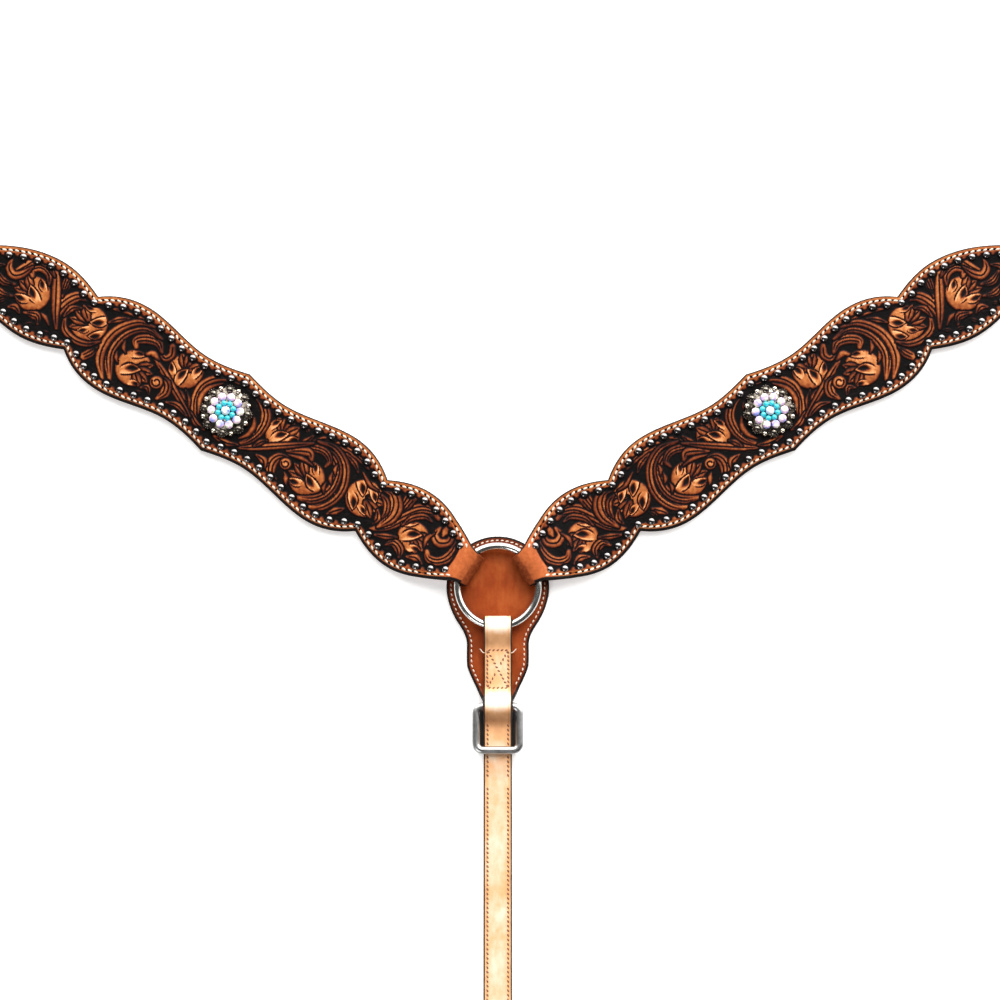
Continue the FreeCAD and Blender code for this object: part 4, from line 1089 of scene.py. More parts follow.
def rod_loop(name, bar, inside_width, spacing, corner, rod, material, strap, middle=0.0, flat=1.0):
    """A rectangular loop of round rod with its first bar at (u, z)."""
    half = inside_width / 2 + rod
    corners = [(spacing - corner, half - corner, 90), (spacing - corner, corner - half, 0),
               (corner, corner - half, -90), (corner, half - corner, 180)]
    line = []
    for cu, cv, start in corners:
        for angle in np.radians(np.linspace(start, start - 90, 10)):
            line.append((cu + corner * math.cos(angle), cv + corner * math.sin(angle)))
    closed = np.array(line + line[:1])
    along = distance_along(closed)
    line = points_at(np.linspace(0, along[-1], 144, endpoint=False), along, closed)
    tangent = np.roll(line, -1, 0) - np.roll(line, 1, 0)
    rings = rod_rings(line, tangent, rod, (bar[0], middle, bar[1]), flat)
    return tube(name, rings, material, strap, closed=True)


def on(body, obj, slot, *nodes):
    """Rides a piece on a body and hides the CAD nodes that it stands for; slot, the name of its finish, is
    not used.
    """
    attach(obj, body)
    if nodes:
        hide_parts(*nodes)
    return obj


def across(obj, a, b, start, end, slot, *nodes):
    """For a piece that spans two bodies: bakes its placing into its mesh and hides the CAD nodes that it
    stands for; the two bodies are not used.
    """
    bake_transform(obj)
    if nodes:
        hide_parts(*nodes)
    return obj


# ---------------------------------------------------------------- a shoulder
TAB_BACK_END = 46.0  # where the ply behind the ring tab ends
END_FOLD_START = 434.5
END_FOLD_TOP = 10.2
RISE_PATH = rounded([(TAB_FOLD[0], RING_Z + FOLD_OUTER), (31.4, RING_Z + FOLD_OUTER),
                     (TAB_BACK_END, TAB_BOTTOM + TOP), (SLOPE[0], TAB_BOTTOM + TOP), (SLOPE[1], TOP),
                     (END_FOLD_START, TOP), (444.5, END_FOLD_TOP), (END_BAR[0], END_FOLD_TOP)])


def shoulder_surface(u):
    """Height of the shoulder's upper face."""
    return np.interp(u, RISE_PATH[:, 0], RISE_PATH[:, 1])


def shoulder_leather(side, spots):
    """The tooled face in one piece, from its fold round the ring to its fold round the end ring."""
    fine, coarse = 0.58, 1.1
    near = resampled([(TAB_BACK_END, TAB_BOTTOM), (30.0, TAB_BOTTOM)]
                     + arc(TAB_FOLD, FOLD_OUTER, 270, 90, 20), coarse)
    top = resampled(RISE_PATH, lambda u, z: fine if 30 < u < 434 else coarse)
    far = resampled(arc(END_BAR, END_BAR[1], 90, -90, 20) + [(END_FOLD_START, 0.0)], coarse)
    path = np.concatenate([near[:-1], top, far[1:]])
    u = path[:, 0]
    first, last = len(near) - 1, len(near) - 1 + len(top)
    order = np.arange(len(path))
    thickness = np.interp(u, [24, 40, 50, 433, 440], [2.1, 2.1, FACE, FACE, 2.2])
    thickness = np.where(order < first, np.interp(u, [36, 46], [2.1, 1.6]), thickness)
    thickness = np.where(order > last, 2.2, thickness)
    seen = leather_rings(path, thickness, shoulder_edges, SHOULDER_ROWS)[first:last, :SHOULDER_ROWS]
    holes = [end for stitch in shoulder_stitches() for end in stitch_ends(stitch)]
    height, tooling = carve(seen[..., 0], seen[..., 1], spots, holes)
    relief = np.zeros((len(path), SHOULDER_ROWS))
    relief[first:last] = height
    rings = leather_rings(path, thickness, shoulder_edges, SHOULDER_ROWS, relief)
    colours = np.zeros((*rings.shape[:2], 3))
    colours[..., 0] = 0.55
    colours[..., 1] = 1.0
    dye_edges(colours, SHOULDER_ROWS)
    colours[:first, :SHOULDER_ROWS, 0] = 0.5
    colours[first:last, :SHOULDER_ROWS] = tooling
    obj = tube(side + "_shoulder_leather", rings, LEATHER, side)
    paint(obj, "tooling", colours.reshape(-1, 3))
    return obj


def shoulder_stitches():
    """Places of the stitches along both edges of a shoulder."""
    upper, lower = (inset_row(shoulder_edges, edge, SEAM_INSET, 33.0, 431.0, 4.5) for edge in (1, -1))
    return upper + lower


def stitch_ends(stitch, reach=1.9):
    """The two holes of a stitch."""
    u, v, turn = stitch
    return [(u + k * reach * math.cos(turn), v + k * reach * math.sin(turn)) for k in (-1, 1)]


def on_either_body(side, places, piece, lift=0.0):
    """Copies of a piece at (u, v, turn), parted into those on the tab and those beyond the bend."""
    groups = {"_tab": [], "_shoulder": []}
    for u, v, turn in places:
        height, tilt = float(shoulder_surface(u)) + lift, slope_at(shoulder_surface, u)
        groups["_tab" if u < FLEX[0] else "_shoulder"].append(moved(piece, u, v, height, side, turn, tilt))
    return groups["_tab"], groups["_shoulder"]


def shoulder_threads(side):
    """The stitches, each a little out of line; none lies on the bending line."""
    places = [(u, v, turn + math.radians(14 + 5 * RANDOM.standard_normal()))
              for u, v, turn in shoulder_stitches() if not FLEX[0] - 1 < u < FLEX[1] + 1]
    tab, shoulder = on_either_body(side, places, STITCH, 0.02)
    on(side + "_tab", join(side + "_tab_thread", tab, THREAD), "cream_thread")
    on(side + "_shoulder", join(side + "_thread", shoulder, THREAD), "cream_thread", side + "_seam_thread")


def shoulder_spots(side, spots):
    """The dark domed spots."""
    tab, shoulder = on_either_body(side, [(u, v, 0.0) for row in spots for u, v in row], SPOT)
    on(side + "_tab", join(side + "_tab_studs", tab, SPOT_METAL), "spot_metal", side + "_tab_spots")
    on(side + "_shoulder", join(side + "_studs", shoulder, SPOT_METAL), "spot_metal", side + "_spots")


def shoulder_underside(side):
    """The lining under a shoulder."""
    path = rounded([(433.0, 0.0), (SLOPE[1], 0.0), (SLOPE[0], TAB_BOTTOM), (46.6, TAB_BOTTOM)])

    def edges(u):
        low, high = shoulder_edges(u)
        return low + 0.15, high - 0.15

    rings = leather_rings(resampled(path, 1.5), LINING - 0.03, edges, rows=20)
    return tube(side + "_underside", rings, LINING_LEATHER, side)


def build_shoulder(side):
    """Every seen piece of one shoulder."""
    spots = spot_rows(side)
    start, end = (at(u_bend, 0, FLEX_Z, side) for u_bend in FLEX)
    ends = (side + "_tab", side + "_shoulder", start, end)
    across(shoulder_leather(side, spots), *ends, "tooled_leather", side + "_ring_tab",
           side + "_flex_leather", side + "_shoulder_face", side + "_end_tab")
    across(shoulder_underside(side), *ends, "lining_leather", side + "_shoulder_lining")
    shoulder_threads(side)
    shoulder_spots(side, spots)
    build_concho(side)
    end_ring = rod_loop(side + "_end_loop", END_BAR, INCH, 16.0, 4.0, 2.5, STEEL, side, END_V)
    on(side + "_end_ring", end_ring, "steel", side + "_end_ring")
    buckle = rod_loop(side + "_buckle_frame", BUCKLE_BAR, INCH, 30.0, 4.7, LOOP_ROD, BRUSHED, side, END_V)
    on(side + "_tug_buckle", buckle, "steel", side + "_tug_buckle")


# ---------------------------------------------------------------- the concho
def circle(count, radius, start=0.0):
    """Evenly spaced places round a middle."""
    for i in range(count):
        angle = math.radians(start + 360.0 * i / count)
        yield radius * math.cos(angle), radius * math.sin(angle), angle


def berry():
    """A round berry with a ring of grains round it."""
    return lathe([(0.0, -0.6), (3.0, -0.6), (3.25, 0.2), (2.95, 0.75), (2.5, 0.9), (2.35, 1.7),
                  (1.95, 2.4), (1.2, 2.9), (0.0, 3.1)], 20)


def brilliant(radius, height, sides=8):
    """A cut stone: a table, crown facets and a girdle in a cup."""
    verts = []
    for share, level, turn in ((1.0, 0.0, 0.0), (1.0, 0.35, 0.0), (0.86, 0.72, 0.5), (0.52, 1.0, 0.0)):
        for i in range(sides):
            angle = 2 * math.pi * (i + turn) / sides
            verts.append((radius * share * math.cos(angle), radius * share * math.sin(angle),
                          height * level))
    faces = [list(range(sides))[::-1]]
    for row in range(3):
        for i in range(sides):
            j = (i + 1) % sides
            a, b = row * sides + i, row * sides + j
            c, d = a + sides, b + sides
            if row == 1:
                faces += [[a, b, c], [b, d, c]]
            elif row == 2:
                faces += [[a, d, c], [a, b, d]]
            else:
                faces.append([a, b, d, c])
    faces.append([3 * sides + i for i in range(sides)])
    return np.array(verts), faces


def bead(radius, height):
    """A low round bead."""
    profile = [(0.0, -0.4), (radius, -0.4), (radius * 1.02, height * 0.25),
               (radius * 0.88, height * 0.6), (radius * 0.55, height * 0.9), (0.0, height)]
    return lathe(profile, 18)


def build_concho(side):
    """Silver base with its berries, a ring of clear stones, turquoise beads and a middle stone."""
    def here(piece, x, y, z, turn=0.0):
        return moved(piece, CONCHO[0] + x, CONCHO[1] + y, TOP + z, side, turn)

    base = lathe([(0.0, -0.5), (16.6, -0.5), (17.0, 0.5), (16.2, 1.3), (14.0, 1.5), (13.2, 1.9),
                  (12.9, 2.4), (8.0, 2.6), (7.6, 3.2), (0.0, 3.4)], 64)
    silver = [here(base, 0, 0, 0)]
    for x, y, angle in circle(8, 15.3, 22.5):
        silver.append(here(berry(), x, y, 0.5, angle))
        silver += [here(bead(0.45, 0.6), x + gx, y + gy, 1.1) for gx, gy, _ in circle(12, 3.3)]
    beads = [here(bead(1.9, 2.4), x, y, 0.9) for x, y, _ in circle(8, 16.3)]
    cups = [here(bead(3.1, 1.3), x, y, 2.1) for x, y, _ in circle(10, 10.1, 8)]
    stones = [here(brilliant(3.0, 2.6), x, y, 3.0, a) for x, y, a in circle(10, 10.1, 8)]
    blue = [here(bead(2.05, 2.1), x, y, 3.3) for x, y, _ in circle(8, 5.45)]
    middle = [here(brilliant(3.2, 3.0, 10), 0, 0, 3.4)]
    for name, pieces, material, slot, *stands_for in (
            ("_concho_base", silver, ANTIQUE, "antique_silver", "_concho"),
            ("_concho_beads", beads, BEAD_METAL, "antique_silver"),
            ("_concho_cups", cups, ANTIQUE, "antique_silver"),
            ("_concho_stones", stones, CRYSTAL, "crystal", "_concho_crystals"),
            ("_turquoise_beads", blue, TURQUOISE, "turquoise", "_concho_turquoise"),
            ("_concho_middle_stone", middle, BLUE_CRYSTAL, "crystal", "_concho_centre_stone")):
        obj = join(side + name, pieces, material, slot != "crystal")
        on(side + "_shoulder", obj, slot, *(side + node for node in stands_for))


# ---------------------------------------------------------------- the ring and its safe
def build_ring():
    """The polished round-rod ring."""
    columns, section = 168, 28
    around = np.arange(section) * 2 * math.pi / section
    turn = np.arange(columns) * 2 * math.pi / columns
    radius = RING_RADIUS + RING_ROD * np.cos(around)
    rings = np.stack([
        np.cos(turn)[:, None] * radius, np.sin(turn)[:, None] * radius,
        RING_Z + np.broadcast_to(RING_ROD * np.sin(around), (columns, section))], -1)
    on("centre_ring", tube("ring", rings, STEEL, "centre", closed=True), "steel", "centre_ring")


def round_end(count, start=math.pi * 0.985):
    """Places along the safe's round end, closer together where its edge turns."""
    return SAFE_RADIUS * np.cos(np.linspace(start, 1.35, count))


def safe_inset(u, v):
    """Distance inside the safe's edge."""
    rim_u = np.concatenate([round_end(120, math.pi), np.arange(8.0, 88.0, 0.5)])
    rim_v = safe_edges(rim_u)[1]
    gap = np.hypot(u[..., None] - rim_u, np.abs(v)[..., None] - rim_v)
    return gap.min(-1)


def safe_path():
    """The safe's face, from its round end to its fold round the loop's bar, and where the fold starts."""
    flat = [(u, SAFE_TOP) for u in round_end(50)]
    fold = rounded([(7.8, SAFE_TOP), (72.0, SAFE_TOP), (79.5, 12.0), (LOOP_BAR[0], 12.0)], 2.0)
    fold = resampled(fold, 0.9)
    back = resampled(arc(LOOP_BAR, 4.1, 90, -90, 16) + [(75.0, 2.3)], 0.9)
    return np.concatenate([flat[:-1], fold, back[1:]]), len(flat) - 1 + len(fold)


def build_safe():
    """The shield behind the ring, with a seam groove and painted shade: darker towards its edge and in the
    ring's shadow, a little lighter in the middle.
    """
    path, seen = safe_path()
    thickness = np.full(len(path), 1.95)
    thickness[seen:] = 1.5
    sharp = 0.01
    flat = leather_rings(path, thickness, safe_edges, SAFE_ROWS, roundness=sharp)[:, :SAFE_ROWS]
    inset = safe_inset(flat[..., 0], flat[..., 1])
    inset[seen:] = 5.0
    groove = 1 - soft(np.abs(inset - SEAM_INSET), 0.2, 0.7)
    relief = -0.5 * (1 - np.clip(inset / 0.9, 0, 1)) ** 2 - 0.18 * groove
    rings = leather_rings(path, thickness, safe_edges, SAFE_ROWS, relief, sharp)
    colours = np.zeros((*rings.shape[:2], 3))
    colours[..., 0] = 0.3
    r = np.hypot(flat[..., 0], flat[..., 1])
    ring_shadow = np.exp(-((r - RING_RADIUS) / 4.0) ** 2)
    # painted shade darker towards the edge, a painted shadow under the ring and a painted highlight in the
    # middle; the seam groove is darker
    colours[:, :SAFE_ROWS, 0] = (0.52 - 0.20 * (1 - soft(inset, 0.5, 8.0)) - 0.14 * groove
                                 - 0.26 * ring_shadow + 0.04 * np.exp(-(r / 17.0) ** 2))
    colours[:, :SAFE_ROWS, 2] = 1 - soft(inset, 1.1, 1.8)
    dye_edges(colours, SAFE_ROWS)
    obj = tube("safe_shield", rings, SAFE_LEATHER, "centre")
    paint(obj, "shade", colours.reshape(-1, 3))
    on("hanger", obj, "safe_leather", "ring_safe")


def build_safe_lining():
    """The second layer under the safe."""
    def edges(u):
        low, high = safe_edges(np.minimum(u, 87.0))
        return low * 0.992, high * 0.992

    places = [79.0, *np.arange(76.0, 8.0, -2.0), *round_end(40)[::-1]]
    rings = leather_rings(np.array([(u, 0.0) for u in places]), 1.46, edges, rows=20)
    on("hanger", tube("safe_underside", rings, LINING_LEATHER, "centre"), "lining_leather", "safe_lining")


def build_loop():
    """The rectangular loop in the safe's fold, and the dark strip seen through it."""
    strip = resampled([(82.0, 1.5), (114.5, 1.5)], 1.2)
    backing = leather_rings(strip, 1.45, even_edges(12.9), rows=24, roundness=0.9)
    on("hanger", tube("dark_backing", backing, BLACK_LEATHER, "centre"), "dark_leather", "loop_backing")
    loop = rod_loop("safe_loop_rod", LOOP_BAR, INCH, 30.0, 4.7, LOOP_ROD, BRUSHED, "centre", flat=1.2)
    on("safe_loop", loop, "steel", "safe_loop")


# ---------------------------------------------------------------- the centre strap
# over the ring, down on the safe, over the loop's near bar, under its far bar and on to the snap
HANG_PATH = rounded([(STRAP_FOLD[0], RING_Z + FOLD_OUTER), (31.4, RING_Z + FOLD_OUTER), (42.0, 8.55),
                     (71.0, 8.55), (78.0, 14.55), (86.0, 14.55), (95.0, 5.3), (118.0, 5.3),
                     (131.0, 3.8), (322.0, 3.8), (331.8, 9.8), (SNAP_BAR[0], 9.8)], 3.0)


def strap_surface(u):
    """Height of the centre strap's upper face."""
    return np.interp(u, HANG_PATH[:, 0], HANG_PATH[:, 1])


def strap_shade(u, v):
    """Light and dark stretches of the pale strap: painted highlights where it bulges over the ring and the
    loop's near bar, painted shade in the dips after them, lighter beyond the loop and darker towards both
    long edges.
    """
    # painted highlights on the two bulges, and painted shade in the dips after them
    light = 0.48 + 0.48 * np.exp(-((u - 27.0) / 6.0) ** 2) + 0.50 * np.exp(-((u - 79.0) / 6.5) ** 2)
    light = light + 0.14 * soft(u, 98.0, 112.0)
    dip_shade = 0.10 * np.exp(-((u - 38.0) / 6.0) ** 2) + 0.17 * np.exp(-((u - 93.0) / 5.0) ** 2)
    edge = 0.20 * (np.abs(v) / HALF_STRAP) ** 4
    return light - dip_shade - edge


def strap_stitches():
    """Places and directions (u, v, turn) of the sewn box with its cross, and of the edge rows."""
    box = []
    corners = {"a": (44.2, -7.2), "b": (70.3, -7.2), "c": (70.3, 7.2), "d": (44.2, 7.2)}
    for line in ("ab", "dc", "ad", "bc", "ac", "db"):
        start, end = (np.array(corners[name]) for name in line)
        count = round(np.hypot(*(end - start)) / 2.9)
        turn = math.atan2(*(end - start)[::-1])
        for k in range(count):
            middle = start + (end - start) * (k + 0.5) / count
            if line == "db" and abs(k + 0.5 - count / 2) < 1:
                continue
            box.append((*middle, turn + math.radians(32 + 8 * RANDOM.standard_normal())))
    edge = []
    for side in (1, -1):
        for u, v, turn in inset_row(even_edges(HALF_STRAP), side, 2.5, 96.0, 320.0, 3.1):
            if not TIE_FLEX[0] - 1.7 < u < TIE_FLEX[1] + 1.7:
                edge.append((u, v, turn + math.radians(32 + 4 * RANDOM.standard_normal())))
    return box, edge


def build_centre_strap():
    """The strap from its fold round the ring to its fold round the snap, with its lining."""
    near = resampled([(71.5, TAB_BOTTOM), (30.0, TAB_BOTTOM)]
                     + arc(STRAP_FOLD, FOLD_OUTER, 270, 90, 20), 1.0)
    top = resampled(HANG_PATH, 0.8)
    far = resampled(arc(SNAP_BAR, 4.6, 90, -90, 18) + [(322.0, 0.0), (300.5, 0.0)], 1.0)
    path = np.concatenate([near[:-1], top, far[1:]])
    u = path[:, 0]
    order = np.arange(len(path))
    first, last = len(near) - 1, len(near) - 1 + len(top)
    thickness = np.interp(u, [30, 44, 300, 330], [2.1, 2.35, 2.35, 2.15])
    thickness = np.where(order < first, 2.05, thickness)
    thickness = np.where(order > last, 2.1, thickness)
    edges = even_edges(HALF_STRAP - 0.15)
    flat = leather_rings(path, thickness, edges, STRAP_ROWS)[:, :STRAP_ROWS]
    inset = HALF_STRAP - np.abs(flat[..., 1])
    seam = 1 - soft(np.abs(np.abs(flat[..., 1]) - (HALF_STRAP - 2.2)), 0.2, 0.7)
    rings = leather_rings(path, thickness, edges, STRAP_ROWS, -0.16 * seam)
    colours = np.full((*rings.shape[:2], 3), 0.5)
    colours[..., 2] = 0.0
    # painted highlights and shade along the strap, and a darker seam groove
    colours[:, :STRAP_ROWS, 0] = strap_shade(flat[..., 0], flat[..., 1]) - 0.10 * seam
    colours[:, :STRAP_ROWS, 2] = 1 - soft(inset, 0.45, 1.05)
    dye_edges(colours, STRAP_ROWS)
    obj = tube("strap_face", rings, STRAP_LEATHER, "centre")
    paint(obj, "shade", colours.reshape(-1, 3))
    start, end = (at(u_bend, 0, TIE_FLEX_Z, "centre") for u_bend in TIE_FLEX)
    ends = ("hanger", "tie", start, end)
    across(obj, *ends, "strap_leather", "hanger_strap", "tie_flex_leather", "tie_strap")
    under = resampled(rounded([(299.6, 0.0), (131.0, 0.0), (118.2, 1.5), (96.0, 1.5)], 2.0), 1.5)
    obj = tube("strap_underside", leather_rings(under, 1.36, edges, rows=16), LINING_LEATHER, "centre")
    across(obj, *ends, "strap_leather", "hanger_lining", "tie_lining")


def thread_tails():
    """The two loose ends of thread beside the sewn box, each a row of small grains."""
    grain = lathe([(0, -0.4), (0.3, -0.25), (0.36, 0), (0.3, 0.25), (0, 0.4)], 8)
    tails = []
    for side, reach in ((1, 12.6), (-1, 12.2)):
        line = smooth_line([(46.0, side * 8.4), (45.8, side * 10.2), (43.4, side * reach)], 0.4)
        for u, v in line:
            height = float(strap_surface(46.0)) - 0.5 - 0.55 * max(abs(v) - 9.5, 0)
            tails.append(moved(grain, u, v, height, "centre"))
    return tails


def safe_stitches():
    """The row round the safe's edge, along the line of the CAD's own stitches."""
    row = np.array(middles("safe_thread", "centre"))
    row = smooth_line(row[np.argsort(np.arctan2(row[:, 1], 25.0 - row[:, 0]))], 0.2)
    along = distance_along(row)
    ahead = np.gradient(row, along, axis=0)
    stitches = []
    for stop in np.arange(0, along[-1], 3.5):
        u, v, du, dv = (np.interp(stop, along, each) for each in (*row.T, *ahead.T))
        turn = math.atan2(dv, du) + math.radians(10)
        stitches.append(moved(SAFE_STITCH, u, v, SAFE_TOP - 0.16, "centre", turn))
    return stitches


def strap_threads(box, edge):
    """The sewn box with its tails on the hanger, the edge rows below it, and the safe's row."""
    def laid(u, v, turn, tilt=0.0):
        return moved(BOX_STITCH, u, v, float(strap_surface(u)) + 0.02, "centre", turn, tilt)

    box = [laid(*stitch) for stitch in box]
    upper, lower = [], []
    for u, v, turn in edge:
        (upper if u < TIE_FLEX[0] else lower).append(laid(u, v, turn, slope_at(strap_surface, u)))
    on("hanger", join("box_stitches", box, BROWN_THREAD), "cream_thread", "hanger_thread")
    on("hanger", join("thread_tails", thread_tails(), THREAD), "cream_thread")
    on("hanger", join("hanger_edge_stitches", upper, BROWN_THREAD), "cream_thread")
    on("tie", join("tie_edge_stitches", lower, BROWN_THREAD), "cream_thread", "tie_thread")
    on("hanger", join("safe_stitches", safe_stitches(), THREAD), "cream_thread", "safe_thread")


# ---------------------------------------------------------------- the snap
def build_snap_eye():
    """The eye that the strap folds round, and the boss that the snap turns on."""
    eye = rod_loop("eye_loop", SNAP_BAR, 20.6, 12.0, 3.6, 2.0, SNAP_METAL, "centre")
    on("snap_eye", eye, "snap_metal", "snap_eye")
    start, end = BOSS
    profile = [(0.0, start), (4.3, start), (4.9, start + 0.8), (4.9, end - 0.6), (4.5, end), (0.0, end)]
    verts, faces = lathe(profile, 32)
    boss = moved((verts[:, [2, 0, 1]], faces), 0, 0, SNAP_BAR[1], "centre")
    on("snap_eye", join("eye_boss", [boss], SNAP_METAL), "snap_metal")


def build_spring():
    """The coil behind the bolt, built at its full length; in the snap it shortens as the bolt slides."""
    turns, coil_radius, wire = 4.0, 1.7, 0.3
    t = np.linspace(0, 1, 140)
    angle = 2 * math.pi * turns * t
    core = np.stack([SPRING[0] + (SPRING[1] - SPRING[0]) * t, coil_radius * np.cos(angle),
                     coil_radius * np.sin(angle)], -1)
    tangent = np.gradient(core, axis=0)
    tangent /= np.linalg.norm(tangent, axis=1)[:, None]
    outward = np.stack([np.zeros_like(t), np.cos(angle), np.sin(angle)], -1)
    other = np.cross(tangent, outward)
    around = np.arange(10) * 2 * math.pi / 10
    rings = (core[:, None] + wire * np.cos(around)[None, :, None] * outward[:, None]
             + wire * np.sin(around)[None, :, None] * other[:, None])
    rings[..., 2] += SNAP_BAR[1]
    coil = on("snap", tube("spring_coil", rings, STEEL, "centre"), "steel", "snap_spring")
    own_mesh(coil)


def knuckle(centre, radii, power=0.5, rows=24, around=40):
    """A rounded block (a superellipsoid), as cast metal has where a hook leaves its barrel."""
    tilt = np.linspace(-math.pi / 2, math.pi / 2, rows)[1:-1]
    turn = np.arange(around) * 2 * math.pi / around

    def eased(value):
        return np.sign(value) * np.abs(value) ** power

    level = eased(np.cos(tilt))[:, None]
    body = np.stack([level * eased(np.cos(turn)), level * eased(np.sin(turn)),
                     np.repeat(eased(np.sin(tilt))[:, None], around, 1)], -1)
    return tube("knuckle", body * np.array(radii) + np.array(centre), SNAP_METAL, "centre")


# ---------------------------------------------------------------- pieces refined from the CAD
def refined(node, body, slot, material, bevel):
    """A copy of a CAD node with its edges rounded, standing for the node."""
    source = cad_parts[node]
    mesh = bmesh.new()
    mesh.from_mesh(source.data)
    mesh.transform(source.matrix_world)
    bmesh.ops.remove_doubles(mesh, verts=mesh.verts, dist=2e-6)
    bmesh.ops.dissolve_limit(mesh, angle_limit=math.radians(0.5), verts=mesh.verts, edges=mesh.edges)
    data = bpy.data.meshes.new(node + "_refined")
    mesh.to_mesh(data)
    mesh.free()
    raw = new_object(node + "_raw", data, material)
    cut = raw.modifiers.new("edges", "BEVEL")
    cut.width = bevel / 1000
    cut.segments = 3
    cut.limit_method = "ANGLE"
    cut.angle_limit = math.radians(40)
    bpy.context.view_layer.update()
    shaped = bpy.data.meshes.new_from_object(raw.evaluated_get(bpy.context.evaluated_depsgraph_get()))
    bpy.data.objects.remove(raw)
    shaped.set_sharp_from_angle(angle=math.radians(38))
    return on(body, new_object(node + "_piece", shaped, material), slot, node)


def tug_leather():
    """Strap leather with dyed edges, which follow the tug's own direction."""
    nodes = Nodes("tug_leather")
    split = nodes.add("ShaderNodeSeparateXYZ", {"Vector": nodes.position()})
    rise = math.radians(SHOULDER_RISE)
    away = nodes.math("MULTIPLY", nodes.math("ABSOLUTE", split.outputs["X"], 0.0), math.sin(rise))
    level = nodes.math("MULTIPLY", split.outputs["Y"], math.cos(rise))
    across_strap = nodes.math("SUBTRACT", nodes.math("SUBTRACT", level, away), END_V / 1000)
    from_middle = nodes.math("ABSOLUTE", across_strap, 0.0)
    blotch = nodes.noise(60.0, 6.0)
    colour = nodes.ramp(blotch, [(0.25, (0.30, 0.085, 0.024)), (0.75, (0.56, 0.20, 0.065))])
    dyed = nodes.range(from_middle, 0.0104, 0.0109, 0.0, 1.0)
    nodes.link(nodes.mix(dyed, colour, (0.012, 0.006, 0.004)), "Base Color")
    nodes.link(nodes.range(blotch, 0.2, 0.8, 0.62, 0.45), "Roughness")
    nodes.link(leather_grain(nodes, 1100.0, 0.00012), "Normal")
    return nodes.set(Specular_IOR_Level=0.3).material


def build_refined():
    """The tugs and the snap's body and bolt."""
    refined("snap_body", "snap", "snap_metal", SNAP_METAL, 0.4)
    on("snap", knuckle((376.3, -7.2, SNAP_BAR[1]), (6.4, 4.6, 3.3)), "snap_metal")
    refined("snap_bolt", "snap_bolt", "snap_metal", SNAP_METAL, 0.3)
    leather = tug_leather()
    for side in ("left", "right"):
        for node, bevel in (("_tug_strap", 0.6), ("_tug_chape", 0.4), ("_tug_keeper", 0.5)):
            refined(side + node, side + "_tug", "strap_leather", leather, bevel)
        refined(side + "_tug_tongue", side + "_tug_tongue", "steel", BRUSHED, 0.4)
        refined(side + "_concho_screw", side + "_shoulder", "steel", STEEL, 0.3)
        stitches = [moved(FINE_STITCH, u, v, FACE + 0.02, side, turn + math.radians(12))
                    for edge in (1, -1)
                    for u, v, turn in inset_row(even_edges(HALF_TUG, END_V), edge, 2.3, 520.0, 636.0, 4.4)]
        on(side + "_tug", join(side + "_tug_stitches", stitches, THREAD), "cream_thread")


# ---------------------------------------------------------------- floor, light and camera
def build_stage():
    """A plain pale floor, the light and the camera over the collar."""
    floor = Nodes("pale_floor")
    speck = floor.noise(30.0, 3.0)
    floor.link(floor.ramp(speck, [(0.3, (0.90, 0.90, 0.90)), (0.7, (0.93, 0.93, 0.93))]), "Base Color")
    floor.set(Roughness=0.9, Emission_Color=(1.0, 1.0, 1.0, 1.0), Emission_Strength=0.42)
    mesh = bpy.data.meshes.new("floor")
    reach, level = 15.0, -0.0006
    mesh.from_pydata([(-reach, -reach, level), (reach, -reach, level), (reach, reach, level),
                      (-reach, reach, level)], [], [(0, 1, 2, 3)])
    new_object("floor", mesh, floor.material, False)
    build_light()
    build_camera()


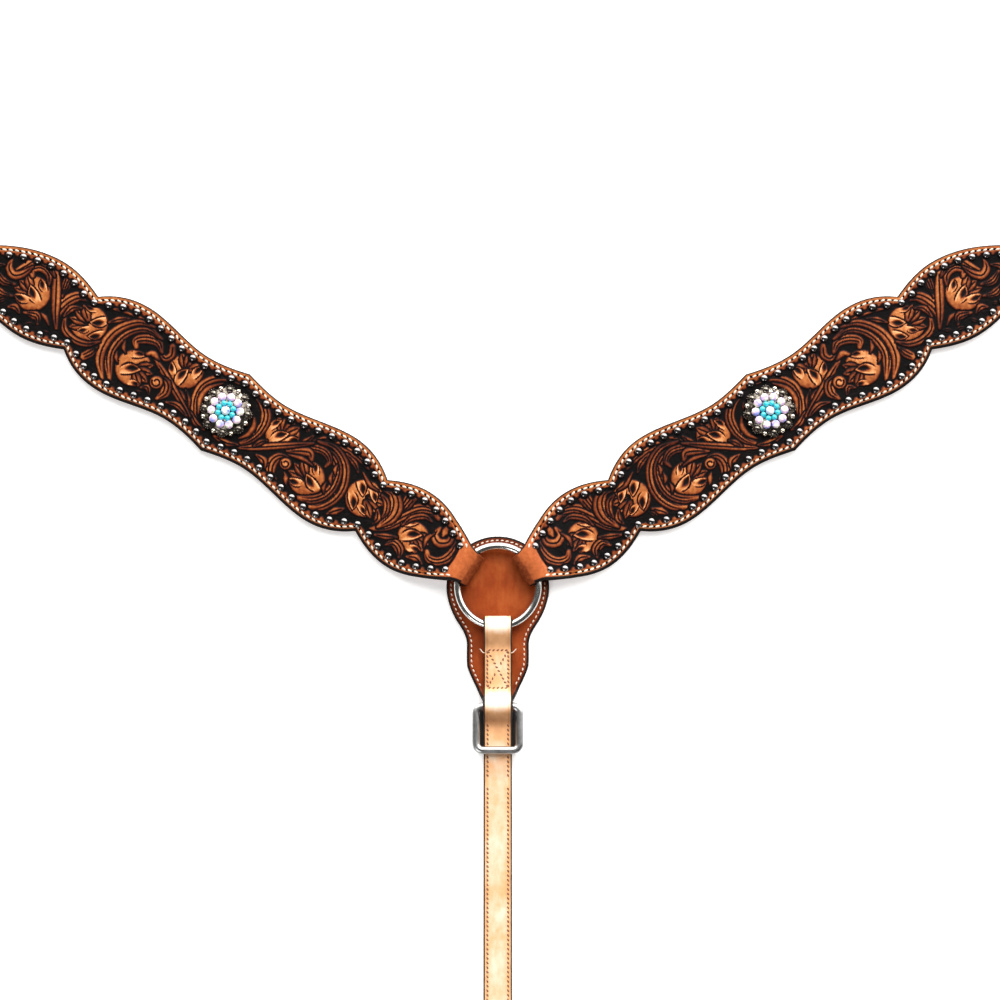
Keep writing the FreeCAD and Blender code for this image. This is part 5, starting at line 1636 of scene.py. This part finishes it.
def build_light():
    """A dim surround with a bright patch behind the collar's top, seen plain white, and two soft lamps."""
    world = bpy.data.worlds.new("studio")
    world.use_nodes = True
    tree = world.node_tree
    direction = add_node(tree, "ShaderNodeTexCoord").outputs["Generated"]
    towards = add_node(tree, "ShaderNodeVectorMath", {0: direction, 1: (0.22, 0.97, 0.10)},
                       operation="DOT_PRODUCT").outputs["Value"]
    glow = add_node(tree, "ShaderNodeMapRange", {"Value": towards, "From Min": 0.30, "From Max": 0.55,
                                                 "To Min": 0.10, "To Max": 3.8},
                    interpolation_type="SMOOTHSTEP").outputs["Result"]
    seen = add_node(tree, "ShaderNodeLightPath").outputs["Is Camera Ray"]
    strength = add_node(tree, "ShaderNodeMix", {"Factor": seen, "A": glow, "B": 1.0}).outputs["Result"]
    background = tree.nodes["Background"].inputs
    tree.links.new(strength, background["Strength"])
    background["Color"].default_value = (1.0, 0.985, 0.96, 1.0)
    bpy.context.scene.world = world

    target = Vector((0, 0.08, 0))
    for name, spot, width in (("key", (0.55, 1.25, 1.15), 0.5), ("fill", (-0.9, -1.4, 1.3), 0.9)):
        light = bpy.data.lights.new(name, "AREA")
        light.energy = 12
        light.size = width
        obj = bpy.data.objects.new(name, light)
        obj.location = spot
        obj.rotation_euler = (target - Vector(spot)).to_track_quat("-Z", "Y").to_euler()
        bpy.context.scene.collection.objects.link(obj)


def build_camera():
    """The photograph's view: from above, tilted a little towards the strap."""
    centre = (0.0015, 0.0607, 0.0045)
    distance = 1.75
    tilt = math.radians(7.0)
    view_width = 0.697
    camera_data = bpy.data.cameras.new("camera")
    camera_data.sensor_width = 36.0
    camera_data.lens = 36.0 * distance / view_width
    camera_data.clip_start = 0.01
    camera = bpy.data.objects.new("camera", camera_data)
    camera.location = (centre[0], centre[1] - distance * math.sin(tilt),
                       centre[2] + distance * math.cos(tilt))
    camera.rotation_euler = (tilt, 0, 0)
    bpy.context.scene.collection.objects.link(camera)
    bpy.context.scene.camera = camera
    bpy.context.scene.view_settings.view_transform = "Standard"


for strap_side in ("left", "right"):
    build_shoulder(strap_side)
build_ring()
build_safe()
build_safe_lining()
build_loop()
build_centre_strap()
strap_threads(*strap_stitches())
build_snap_eye()
build_spring()
build_refined()
build_stage()
